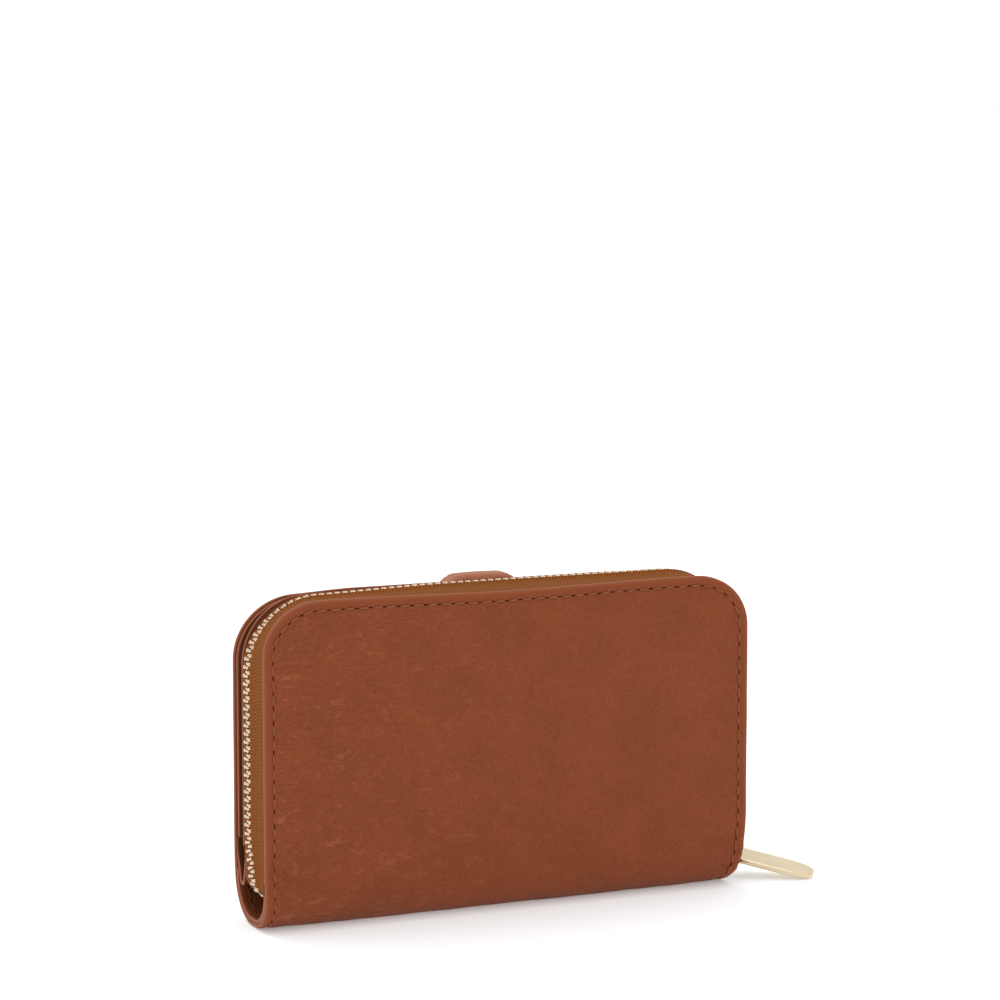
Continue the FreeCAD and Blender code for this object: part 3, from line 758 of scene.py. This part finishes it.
def make_cover():
    rear = Sheet(spine_line(SPINE_RADIUS, TOP, -1), HALF, REAR_CORNER, LEATHER, 1, None, rear_relief, rear_warp)
    make_sheet("rear_cover", rear, COVER, REAR_BEND, "leather", ("rear_panel", "spine_leather"),
               step=0.75, fine=0.5, coarse=1.0)
    sewing("rear_stitching", rear, rear.outline(STITCH_INSET, SEAM_START), REAR_BEND)
    front = Sheet(spine_line(flap_high[1], flap_high[2], 1), HALF, FLAP_CORNER, LEATHER, -1, None,
                  flap_relief, lambda p: shoulders(end_curl(p)))
    make_sheet("flap_cover", front, COVER, FLAP_BEND, "leather", ("flap_panel", "spine_leather"),
               step=0.9, fine=0.55, coarse=1.3)
    sewing("flap_stitching", front, front.outline(STITCH_INSET, SEAM_START), FLAP_BEND)


# ---- leather inside ----
def inner_relief(x, s, d):
    return -0.12 * hill(d, INNER_INSET, 0.5) + 0.03 * hill(d, 1.1, 0.6)


def make_spine_lining():
    r = SPINE_RADIUS - LEATHER - 0.1
    t = np.radians(np.linspace(-90, 90, 260))
    arc = np.stack([r * np.sin(t), SPINE_Z - r * np.cos(t)], -1)
    arc[:, 1] = np.maximum(arc[:, 1], LEATHER + 0.12)
    up = np.stack([np.full(20, r), np.linspace(SPINE_Z + 0.1, cad("spine_lining")[1][2], 20)], -1)
    line = np.concatenate([arc[arc[:, 1] < REAR_FOLD_Z - 0.1], up])
    inward = 1.2
    tangent = unit(np.gradient(line, axis=0))
    face = line + np.stack([-tangent[:, 1], tangent[:, 0]], -1) * inward
    lining = Sheet(face, HALF - 0.12, 0.0, inward + 0.04, 1, 0.0, inner_relief, end_curl, rim=0.3)
    make_sheet("spine_lining_sheet", lining, SPINE_LINING, "core", "spine_lining", ("spine_lining",),
               step=0.9, fine=0.6, coarse=3.0)
    for x, label in ((-HALF + 2.9, "left"), (HALF - 2.9, "right")):
        path = resample([(x, 1.5), (x, lining.length - 1.0)], 0.3)
        sewing("spine_lining_stitching_" + label, lining, path, "core", thread=THREAD_LINING,
               slot="spine_lining")


def make_inner_shell():
    """The shell's two arms and the loop that joins them: pressed flat at its foot, open above."""
    seam = {"thread": THREAD_LINING, "slot": "inner_leather"}
    low = FLAP_FOLD_Z + 0.05
    arm = Sheet(upright(inner_low[1], low, inner_high[2]), HALF - 0.35, FLAP_CORNER - 0.35, 1.1, 1, 0.0,
                inner_relief, shoulders)
    make_sheet("flap_inner_sheet", arm, INNER, "flap", "inner_leather", ("flap_inner_panel",),
               step=1.1, fine=0.6, coarse=2.4)
    sewing("flap_inner_stitching", arm, arm.outline(INNER_INSET, 0.8), "flap", **seam)
    back = Sheet(upright(middle_high[1], middle_low[2], middle_high[2]), HALF - 0.6, ZIP_CORNER - 0.85, 1.0,
                 -1, 0.0, inner_relief)
    make_sheet("middle_shell_sheet", back, SHELL, "core", "inner_leather", ("middle_panel",),
               step=1.1, fine=0.6, coarse=2.4)
    sewing("middle_shell_stitching", back, back.outline(INNER_INSET, 0.8), "core", **seam)
    foot = cad("inner_shell_fold")[0][2] + 0.15
    line = bent_line([(11.9, low - 0.1), (11.75, low - 4.6), (9.5, foot + 2.8), (9.0, foot), (7.3, foot),
                      (6.7, foot + 2.8), (5.45, low - 4.6), (5.6, middle_low[2] + 0.4)],
                     [9.0, 5.0, 0.75, 0.75, 5.0, 9.0])
    loop = Sheet(line, HALF - 0.5, 0.0, 1.25, -1)
    bend = ("core", "flap", (0, 8.2 * MM, (low - 4.0) * MM), (0, 11.8 * MM, (low - 2.0) * MM))
    # the loop takes the leather that is painted darker for the shade inside it
    make_sheet("shell_loop", loop, SHADED_LOOP_LEATHER, bend, "inner_leather", ("inner_shell_fold",),
               step=0.5, fine=0.6, coarse=3.0)


def make_pocket(node, faces, body, material, slot, corner=2.5, scoop=0.0):
    """One card slot or slip pocket, sewn round its sides and foot, open along its creased top edge."""
    low, high = cad(node)
    height, scoop_half = high[2] - low[2], 22.0
    seam = {"pitch": 2.9, "radius": 0.15, "slant": 0.06, "sink": 0.16, "thread": THREAD_LINING, "slot": slot}

    def relief(x, s, d):
        return -0.07 * hill(d, 1.6, 0.35) - 0.06 * hill(height - s, 2.2, 0.3)

    def warp(p):
        across = np.cos(np.clip(p[..., 0] / scoop_half, -1, 1) * math.pi / 2) ** 2
        return moved(p, 2, -scoop * across * smooth(high[2] - 9, high[2], p[..., 2]))

    line = upright(high[1] if faces > 0 else low[1], low[2], high[2])
    sheet = Sheet(line, high[0], corner, high[1] - low[1], -faces, corner, relief, warp, rim=0.16)
    make_sheet(node + "_sheet", sheet, material, body, slot, (node,), step=1.6, fine=0.5, zone=3.2, coarse=3.0)
    half, foot, top = high[0] - 1.6, 1.6, height - 3.2
    path = [(-half, top), (-half, foot + 1.2), (-half + 1.2, foot), (half - 1.2, foot), (half, foot + 1.2),
            (half, top)]
    sewing(node + "_stitching", sheet, resample(path, 0.25), body, **seam)
    if slot == "inner_leather":
        path = [(-high[0] + 2.6, top), (high[0] - 2.6, top)]
        sewing(node + "_top_stitching", sheet, resample(path, 0.3), body, **seam)


def make_pockets():
    for i in (1, 2, 3):
        make_pocket("card_slot_%d" % i, 1, "core", SHELL, "inner_leather")
    for i in (1, 2):
        make_pocket("flap_card_slot_%d" % i, -1, "flap", INNER, "inner_leather")
    make_pocket("rear_slip_pocket", 1, "rear", CLOTH, "lining", 3.0, 2.5)
    make_pocket("middle_slip_pocket", -1, "core", CLOTH, "lining", 3.0, 2.5)


# ---- lining ----
def make_linings():
    soft = noise_field(10, 15, 50, 8)

    def relief(x, s, d):
        return 0.07 * soft(x, s) * smooth(0, 4, d) - 0.06 * hill(d, 3.0, 0.5)

    line = upright(lining_high[1], lining_low[2] + 0.1, lining_high[2])
    rear = Sheet(line, lining_high[0], ZIP_CORNER - 1.3, 0.42, -1, 0.0, relief,
                 lambda p: sag(p, 0.5), rim=0.18)
    make_sheet("rear_lining_sheet", rear, CLOTH, turn_between("rear", REAR_FOLD_Z + 0.5, REAR_FOLD_Z + 4.0),
               "lining", ("rear_lining",), step=1.4, fine=0.9, coarse=3.0)
    low, high = cad("middle_lining")
    middle = Sheet(upright(low[1], low[2], high[2]), high[0], ZIP_CORNER - 1.3, 0.5, 1, 0.0, relief, rim=0.18)
    make_sheet("middle_lining_sheet", middle, CLOTH, "core", "lining", ("middle_lining",),
               step=1.4, fine=0.9, coarse=3.0)
    low, high = cad("compartment_floor")
    z = low[2] + 0.5
    line = bent_line([(low[1], z), (high[1] - 0.5, z), (high[1] - 0.5, high[2])], [2.75])
    middle_x, half = (low[0] + high[0]) / 2, (high[0] - low[0]) / 2
    floor = Sheet(line, half, 0.0, 0.45, 1, 0.0, relief, lambda p: p + [middle_x, 0, 0], rim=0.18)
    make_sheet("compartment_floor_sheet", floor, CLOTH, "core", "lining", ("compartment_floor",),
               step=1.0, fine=0.9, coarse=3.0)


# ---- zip tapes ----
def zip_path(inset, corner, low_right, gap):
    """The zip's outline, from the right foot over the top to the left foot, which turns in.

    Returns places x and z, and the way out of the outline at each."""
    half, top = HALF - inset, TAPE_TOP + TAPE_OUT - inset
    r, foot = corner - inset, FOOT_TURN + TAPE_OUT + TAPE_THICK / 2 - inset
    a = np.linspace(0, math.pi / 2, 60)
    pts = [(half, low_right)]
    pts += [(half - r + r * math.cos(t), top - r + r * math.sin(t)) for t in a]
    pts += [(-half + r - r * math.sin(t), top - r + r * math.cos(t)) for t in a]
    pts += [(-half + foot - foot * math.cos(t), FOOT_Z - foot * math.sin(t))
            for t in np.linspace(0, FOOT_SPAN, 40)]
    pts = resample(pts, gap)
    tangent = unit(np.gradient(pts, axis=0))
    return pts, np.stack([tangent[:, 1], -tangent[:, 0]], -1)


def drift(p):
    """The zip leans a little to the front, straight on the right where the slider runs, and turns back
    towards the rear half low on the left."""
    x, y, z = np.moveaxis(p, -1, 0)
    near = smooth(-11.6, -1.0, y) * (1 - 0.6 * smooth(2.0, 6.0, y))
    forward = 1.1 * (1 - smooth(50, 68, x) * smooth(88, 75, z))
    back = 3.4 * smooth(28, 12, z) * smooth(-60, -70, x)
    return moved(p, 1, near * (forward - back))


def zip_radius(y):
    """The zip's corners widen from the rear panel towards the front."""
    return 17.5 + 5.0 * smooth(-12.0, 3.0, y)


def tape(name, node, follows, section):
    """One woven tape. section(x, z) gives its cross section there, as rows of depth and y."""
    columns = [zip_path(TAPE_OUT, zip_radius(y), TAPE_BOTTOM, 0.8) for y in section(0.0, TOP)[:, 1]]
    count = min(len(pts) for pts, _ in columns)
    share = np.linspace(0, 1, count)
    rails = [[between(share, np.linspace(0, 1, len(pts)), q) for q in (pts, out)] for pts, out in columns]
    length = lengths(rails[0][0])[-1]
    grid, flat = [], []
    for i in range(count):
        cross = section(*rails[0][0][i])
        line = []
        for (depth, y), (pts, out) in zip(cross, rails):
            x, z = pts[i] - out[i] * depth
            line.append((x, y, z))
        grid.append(line)
        flat.append([(length * share[i], w, 0) for w in lengths(cross)])
    grid = drift(crown(np.array(grid)))
    normal = unit(np.cross(np.gradient(grid, axis=0), np.gradient(grid, axis=1)))
    if normal[count // 2, 2, 2] < 0:
        normal = -normal
    v, f, data = slab(grid, normal, TAPE_THICK, 0.2, np.array(flat))
    place(make_object(name, v, f, TAPE, data), follows, "zip_tape", node)


def cross_section(free, turn_y, depth, towards, dip, cord):
    """Depth and y from the free edge, over the cord beside the teeth, to the turn and down the flange."""
    turn_radius, cord_place, cord_width = 0.75, 1.85, 0.6
    radius = turn_radius * min(1.0, depth / 1.5)
    flat_end = turn_y - towards * radius
    rows = []
    for f in np.linspace(0, 1, 23):
        y = free + (flat_end - free) * f
        bead = cord * hill(abs(y - free), cord_place, cord_width)
        rows.append((dip * f ** 1.5 + 0.10 * math.sin(f * math.pi) - bead, y))
    quarters = (0.25, 0.5, 0.75, 1.0)
    for a in (f * math.pi / 2 for f in quarters):
        rows.append((dip + radius * (1 - math.cos(a)), flat_end + towards * radius * math.sin(a)))
    rows += [(dip + radius + max(depth - radius, 0.02) * f, turn_y) for f in quarters]
    return np.array(rows)


def make_tapes():
    back = rear_high[1] + 0.08
    front = middle_low[1] - 0.08

    def rear_section(x, z):
        low = smooth(FOOT_Z + 1, FOOT_Z - 2.5, z) if x < 0 else 0.0
        return cross_section(CHAIN_Y - TAPE_EDGE, back + 2.3 * low, 7.2 * (1 - low) + 0.1, -1,
                             0.42 * (1 - low), 0.15 + 0.42 * smooth(80, 93, z))

    def front_section(x, z):
        low = smooth(21.4, 23.2, z)
        turn = front - 0.95 * (1 - low)
        if z < TAPE_BOTTOM + 3 and x > 0:
            turn -= 3 - math.sqrt(max(9 - (TAPE_BOTTOM + 3 - z) ** 2, 0))
        return cross_section(CHAIN_Y + TAPE_EDGE, turn, 0.2 + 7.0 * low, 1, 0.3 * low, 0.1)

    tape("rear_tape", "rear_zip_tape", turn_between("rear", REAR_FOLD_Z - 4.0, REAR_FOLD_Z + 2.6), rear_section)
    tape("front_tape", "front_zip_tape", "core", front_section)


# ---- zip teeth ----
SLIDER_LOW, SLIDER_HIGH = cad("slider_body")
# sections of a tooth from its foot to its head: place across, half length, half height
TOOTH = [(2.46, 0.20, 0.4), (2.38, 0.42, 0.6), (2.15, 0.56, 0.72), (1.7, 0.60, 0.78), (1.25, 0.54, 0.78),
         (0.85, 0.40, 0.70), (0.5, 0.38, 0.60), (0.1, 0.50, 0.6), (-0.3, 0.52, 0.58), (-0.62, 0.42, 0.5),
         (-0.8, 0.22, 0.36), (-0.86, 0.08, 0.2)]
SHORT_TOOTH = [t for t in TOOTH if t[0] >= 0.5] + [(0.36, 0.34, 0.55), (0.28, 0.18, 0.4)]


def chain_places(first):
    """Place of each tooth, and its ways along, across and out, from the right foot to the left one."""
    path, out = zip_path(TAPE_OUT + TAPE_THICK / 2, zip_radius(CHAIN_Y), SLIDER_LOW[2] + 1.2, 0.05)
    pts = drift(crown(np.stack([path[:, 0], np.full(len(path), CHAIN_Y), path[:, 1]], -1)))
    s = lengths(pts)
    tangent = unit(np.gradient(pts, axis=0))
    away = np.stack([out[:, 0], np.zeros(len(out)), out[:, 1]], -1)
    for d in np.arange(first, s[-1], TOOTH_PITCH):
        p, t, o = [between(d, s, q) for q in (pts, tangent, away)]
        t = unit(t)
        o = unit(o - t * o.dot(t))
        across = np.cross(o, t)
        yield p, t, across if across[1] > 0 else -across, o


def tooth_mesh(sections, side):
    """Points along, across and out, and faces. Each section is a rounded oblong."""
    around, power = 12, 0.55
    verts = [(rounded(math.cos(a), power) * half, c * side, rounded(math.sin(a), power) * height)
             for c, half, height in sections for a in angles(around, 0.5)]
    return np.array(verts), ring_faces(len(sections), around)


def make_teeth():
    for name, node, side, first, body in (("front_teeth_row", "front_teeth", 1, 0.0, "core"),
                                          ("rear_teeth_row", "rear_teeth", -1, TOOTH_PITCH / 2, "rear")):
        parts = []
        for p, t, across, out in chain_places(first):
            in_slider = p[0] > 0 and p[2] < SLIDER_HIGH[2] + 1.2
            if side < 0 and in_slider:
                continue
            local, faces = tooth_mesh(SHORT_TOOTH if in_slider else TOOTH, side)
            wobble = rng.normal(0, 0.012, 3)
            if side > 0:
                wobble = wobble - out * 0.42 * smooth(80, 91, p[2])
            parts.append((p + wobble + local[:, :1] * t + local[:, 1:2] * across + local[:, 2:] * out, faces))
        v, f = joined(parts)
        place(make_object(name, v, f, TEETH), body, "teeth", node)


# ---- slider, link and puller ----
def rounded_box(low, high, radius):
    """Points and faces of a box with rounded edges."""
    bm = bmesh.new()
    bmesh.ops.create_cube(bm, size=1.0)
    low, high = np.asarray(low), np.asarray(high)
    for v in bm.verts:
        v.co = low + (np.array(v.co) + 0.5) * (high - low)
    bmesh.ops.bevel(bm, geom=bm.edges[:], offset=radius, segments=3, profile=0.5, affect="EDGES")
    bm.verts.index_update()
    verts = np.array([v.co for v in bm.verts])
    faces = [[v.index for v in f.verts] for f in bm.faces]
    bm.free()
    return verts, faces


def plate(outline, levels, at, ease=1.0):
    """Points and faces of a plate: its outline at several levels, drawn in by each level's inset.

    ease is the share of the inset that each point takes, so that a narrow part doesn't cross itself."""
    outline = np.asarray(outline, float)
    ahead = np.roll(outline, -1, 0) - np.roll(outline, 1, 0)
    out = unit(np.stack([ahead[:, 1], -ahead[:, 0]], -1))
    if (out * (outline - outline.mean(0))).sum() < 0:
        out = -out
    out = out * np.reshape(ease, (-1, 1))
    verts = [at(a, b, height) for inset, height in levels for a, b in outline - out * inset]
    return np.array(verts), ring_faces(len(levels), len(outline))


def make_slider():
    low, high = SLIDER_LOW, SLIDER_HIGH
    mid = HALF - TAPE_OUT - TAPE_THICK / 2
    half_y, mid_z, half_z = (high[1] - low[1]) / 2, (low[2] + high[2]) / 2, (high[2] - low[2]) / 2
    thick, clear = 1.15, high[0] - mid - 1.2

    # the plate's outline has wide shoulders at the top and a narrower foot
    shield = []
    for a in angles(56):
        c, s = math.cos(a), math.sin(a)
        shield.append((rounded(c, 0.5) * half_y * (0.86 + 0.14 * smooth(-1, 1, s)),
                       mid_z + rounded(s, 0.55) * half_z))
    levels = [(0.5, 0.0), (0.12, 0.06), (0.0, 0.25), (0.0, thick - 0.45), (0.16, thick - 0.15),
              (0.5, thick), (1.4, thick + 0.02)]
    parts = []
    for side in (1, -1):
        face = mid + side * clear
        parts.append(plate(shield, levels, lambda a, b, h: (face + side * h, CHAIN_Y + a, b)))
        for edge in (-1, 1):
            y = CHAIN_Y + edge * (half_y - 0.42)
            x_in, x_out = sorted((face + side * 0.2, mid + side * (TAPE_THICK / 2 + 0.22)))
            parts.append(rounded_box((x_in, y - 0.36, low[2] + 1.7), (x_out, y + 0.36, high[2] - 1.7), 0.16))
    parts.append(rounded_box((mid - clear - 0.2, CHAIN_Y - 0.4, low[2] + 0.35),
                             (mid + clear + 0.2, CHAIN_Y + 0.4, low[2] + 3.3), 0.15))
    place(make_object("slider_shell", *joined(parts), POLISHED), "slider", "gilt_metal", "slider_body")

    b_low, b_high = cad("slider_bail")
    x_out, x_in = b_high[0] - 0.45, high[0] - 0.25
    z0, z1 = b_low[2] + 0.45, b_high[2] - 0.45
    line = bent_line([(x_in, z0), (x_out, z0), (x_out, z1), (x_in, z1)], [1.5, 1.9], 0.2)
    path = np.stack([line[:, 0], np.full(len(line), CHAIN_Y), line[:, 1]], -1)
    side_way = np.array([0, 1.0, 0])
    verts = []
    for p, t in zip(path, unit(np.gradient(path, axis=0))):
        out = np.cross(t, side_way)
        verts += [p + side_way * rounded(math.cos(a), 0.7) * 0.55 + out * rounded(math.sin(a), 0.7) * 0.45
                  for a in angles(12, 0.5)]
    bail = make_object("slider_bridge", verts, ring_faces(len(path), 12), POLISHED)
    place(bail, "slider", "gilt_metal", "slider_bail")
    stop = make_object("zip_stop_clip", *rounded_box(*cad("zip_stop"), 0.35), TEETH)
    place(stop, "core", "teeth", "zip_stop")


def joint_place(name):
    joint = next(j for j in frame["joints"] if j["name"] == name)
    return np.array(joint["pos_m"]) / MM, np.array(joint["axis"], float)


def puller_axes():
    """The eye, the puller's ways along, across and out of its upper face, its reach and half width."""
    eye, axis = joint_place("puller_swing")
    across = unit(axis)
    points = np.array([v.co for v in frame["nodes"]["puller"].data.vertices]) / MM
    along = points.mean(0) - eye
    along = unit(along - across * along.dot(across))
    up = np.cross(along, across)
    if up[2] < 0:
        up, across = -up, -across
    return eye, along, across, up, ((points - eye) @ along).max(), np.abs((points - eye) @ across).max()


def make_link():
    eye, _, across = puller_axes()[:3]
    upper = joint_place("link_swing")[0]
    half, wire, r = 1.9, 0.5, 0.95
    down = unit(eye - upper)
    centre = (eye + upper) / 2
    long = np.linalg.norm(eye - upper) / 2
    path = []
    for sx, sy, start in ((1, 1, 0), (-1, 1, 90), (-1, -1, 180), (1, -1, 270)):
        for a in np.radians(np.linspace(start, start + 90, 8)):
            path.append(centre + across * (sx * (half - r) + r * math.cos(a)) +
                        down * (sy * (long - r) + r * math.sin(a)))
    path = resample(path + path[:1], 0.25)[:-1]
    place(make_object("link_ring", *wire_ring(path, wire, 14), POLISHED), "link", "gilt_metal", "puller_link")


def make_puller():
    """The tag: a long pillow-shaped bar that narrows to the barrel round the link."""
    eye, along, across, up, reach, wide = puller_axes()
    half_long, power, thick, neck = 14.4, 3.2, 1.9, 1.25
    shoulder, rim_angle = 2.4, 84
    middle = reach - half_long
    upper = []
    for a in np.linspace(0, math.pi, 70):
        s = middle + half_long * math.cos(a)
        if s < shoulder:
            break
        upper.append((s, wide * (1 - abs((s - middle) / half_long) ** power) ** (1 / power)))
    shoulder_s, shoulder_h = upper[-1]
    for f in np.arange(1, 12) / 11:
        s = shoulder_s - (shoulder_s - 0.9) * (1 - (1 - f) ** 1.6)
        upper.append((s, neck + (shoulder_h - neck) * (1 - smooth(0, 1, f)) * (1 - f) ** 0.4))
    upper.append((0.4, neck))
    outline = resample(upper + [(s, -h) for s, h in reversed(upper[1:])] + upper[:1], 0.32)[:-1]
    levels = [(2.3 * (1 - math.cos(a)) ** 1.35, thick / 2 * math.sin(a) / math.sin(math.radians(rim_angle)))
              for a in np.radians(np.linspace(-rim_angle, rim_angle, 17))]
    tag = plate(outline, levels, lambda a, b, h: eye + along * a + across * b + up * h,
                smooth(1.0, 5.5, outline[:, 0]) * 0.75 + 0.25)
    bore, outer = 0.58, 1.35
    side = [(outer, neck - 0.2), (outer - 0.2, neck), (bore + 0.12, neck), (bore, neck - 0.1)]
    profile = [(r, -h) for r, h in reversed(side)] + side
    barrel = [eye + along * (r * math.cos(a)) + up * (r * math.sin(a)) + across * h
              for r, h in profile for a in angles(40)]
    parts = [tag, (barrel, ring_faces(len(profile), 40, closed=True))]
    place(make_object("puller_tag", *joined(parts), GILT), "puller", "gilt_metal", "puller")


# ---- closing tab and snap ----
def make_tab():
    root_low = cad("tab_root")[0]
    strap_low, strap_high = cad("tab_strap")
    half = strap_high[0]
    top, front, foot = strap_high[2], strap_high[1], strap_low[2]
    back = root_low[1]
    leather, lining, seam, flat_half, fall = 1.1, 0.55, 1.9, 6.4, 1.9

    def dome(p):
        away = np.clip((np.abs(p[..., 0]) - flat_half) / (half - flat_half), 0, 1.2) ** 2.2
        return moved(p, 2, -fall * away * smooth(top - 5.0, top - 0.3, p[..., 2]))

    def relief(x, s, d):
        return 0.1 * smooth(0, 2.4, d) - 0.17 * hill(d, seam, 0.42) + 0.16 * smooth(10, 0, np.abs(x))

    outer = bent_line([(back + 0.05, root_low[2]), (back + 0.05, top), (front, top), (front, foot)], [1.9, 1.8])
    strap = Sheet(outer, half, 8.5, leather, 1, 1.5, relief, dome, rim=0.3)
    # the strap wears the leather that is painted lighter for the light on its top
    make_sheet("closing_strap", strap, STRAP_LEATHER_PAINTED_LIGHT, TAB_BEND, "leather", ("tab_strap", "tab_root", "tab_fold"),
               step=0.45, fine=0.4, zone=3.4, coarse=0.8)
    inset = leather + 0.03
    inner = bent_line([(back + inset, root_low[2] + 1), (back + inset, top - inset),
                       (front - inset, top - inset), (front - inset, foot + 0.15)], [0.8, 0.7])
    under = Sheet(inner, half - 0.15, 8.35, lining, 1, 1.4, None, dome, rim=0.2)
    make_sheet("strap_lining", under, INNER, TAB_BEND, "inner_leather", ("tab_lining",),
               step=0.5, fine=0.5, zone=3.4, coarse=1.2)
    path = strap.outline(seam, (top - root_low[2]) + (front - back) + 2.0)
    sewing("strap_stitching", strap, path, TAB_BEND, pitch=3.3, radius=0.22, sink=0.24)


def make_snap():
    low, high = cad("snap_cap")
    x, z = (low[0] + high[0]) / 2, (low[2] + high[2]) / 2

    def extent(node):
        low, high = cad(node)
        return low[1], high[1], (high[0] - low[0]) / 2

    def turned(name, node, body, *shapes):
        parts = [lathe(profile, (x, 0, z), around) for profile, around in shapes]
        place(make_object(name, *joined(parts), POLISHED), body, "gilt_metal", node)

    foot, y1, r = extent("snap_cap")
    y0 = y1 - 0.83
    cap = [(0.05, y0), (r - 0.5, y0), (r - 0.1, y0 + 0.12), (r, y0 + 0.34), (r - 0.25, y0 + 0.58),
           (r - 0.9, y0 + 0.72), (r - 1.15, y0 + 0.66), (r - 1.35, y0 + 0.72), (r * 0.55, y1 - 0.03),
           (r * 0.25, y1), (0.05, y1 + 0.01)]
    stem = [(0.05, foot + 0.05), (1.35, foot + 0.05), (1.35, y0 + 0.2), (0.05, y0 + 0.2)]
    turned("snap_cap_dome", "snap_cap", "tab", (cap, 72), (stem, 24))
    y0, y1, r = extent("snap_socket")
    ring = [(2.0, y1 - 0.25), (2.0, y0 + 0.25), (2.25, y0), (2.9, y0 + 0.08), (3.3, y0 + 0.3),
            (r - 0.3, y0 + 0.35), (r, y0 + 0.5), (r, y1 - 0.1), (0.05, y1 - 0.1), (0.05, y1 - 0.25)]
    turned("snap_socket_ring", "snap_socket", "tab", (ring, 56))
    y0, y1, r = extent("snap_stud")
    seat = y1 - 0.95
    stud = [(0.05, y0), (1.15, y0), (1.15, seat - 0.5), (r - 0.3, seat - 0.5), (r, seat - 0.25),
            (r - 0.3, seat + 0.02), (2.7, seat + 0.06), (2.0, seat + 0.1), (1.62, seat + 0.3),
            (1.85, y1 - 0.4), (1.8, y1 - 0.15), (1.4, y1), (0.9, y1 - 0.05), (0.6, y1 - 0.2), (0.05, y1 - 0.25)]
    turned("snap_stud_post", "snap_stud", "flap", (stud, 56))
    y0, y1, r = extent("snap_rivet")
    rivet = [(0.05, y0), (r - 0.4, y0), (r, y0 + 0.3), (r - 0.1, y1), (0.05, y1)]
    turned("snap_rivet_head", "snap_rivet", "flap", (rivet, 40))


def finish_boards():
    for node in ("rear_board", "middle_board", "flap_board"):
        obj = frame["nodes"][node]
        obj.data.materials.clear()
        obj.data.materials.append(BOARD)


# ---- floor, light and camera ----
def make_stage():
    m = Shader("paper_floor", Roughness=0.9, Specular_IOR_Level=0.1, Emission_Strength=0.24)
    m.bsdf.inputs["Emission Color"].default_value = (1, 1, 1, 1)
    speck = m.noise(m.place(), 40.0, 2.0)
    material = m.finish(m.mix(speck, (0.875, 0.90, 0.91), (0.895, 0.92, 0.93)))
    size = 60.0
    mesh = bpy.data.meshes.new("floor")
    corners = [(-size, -size, 0), (size, -size, 0), (size, size, 0), (-size, size, 0)]
    mesh.from_pydata(corners, [], [(0, 1, 2, 3)])
    mesh.materials.append(material)
    linked("floor", mesh)


def make_light():
    world = bpy.data.worlds.new("studio")
    bpy.context.scene.world = world
    world.use_nodes = True
    background = world.node_tree.nodes["Background"]
    background.inputs["Color"].default_value = (1, 1, 1, 1)
    background.inputs["Strength"].default_value = 1.0
    data = bpy.data.lights.new("ceiling", "SUN")
    data.energy = 0.7
    data.angle = math.radians(50)
    linked("ceiling", data).rotation_euler = (math.radians(-18), math.radians(-8), 0)


def make_camera():
    data = bpy.data.cameras.new("camera")
    down, turn = 6.913, 23.992
    data.sensor_width = 36.0
    data.lens = 117.95
    camera = linked("camera", data)
    camera.location = (-0.38303, -0.864876, 0.233944)
    camera.rotation_euler = (math.radians(90 - down), 0, math.radians(-turn))
    bpy.context.scene.camera = camera
    settings = bpy.context.scene.view_settings
    settings.view_transform = "Standard"
    settings.look = "None"


for make in (make_camera, make_light, make_stage, make_cover, make_spine_lining, make_inner_shell, make_pockets,
             make_linings, make_tapes, make_teeth, make_slider, make_link, make_puller, make_tab, make_snap,
             finish_boards):
    make()
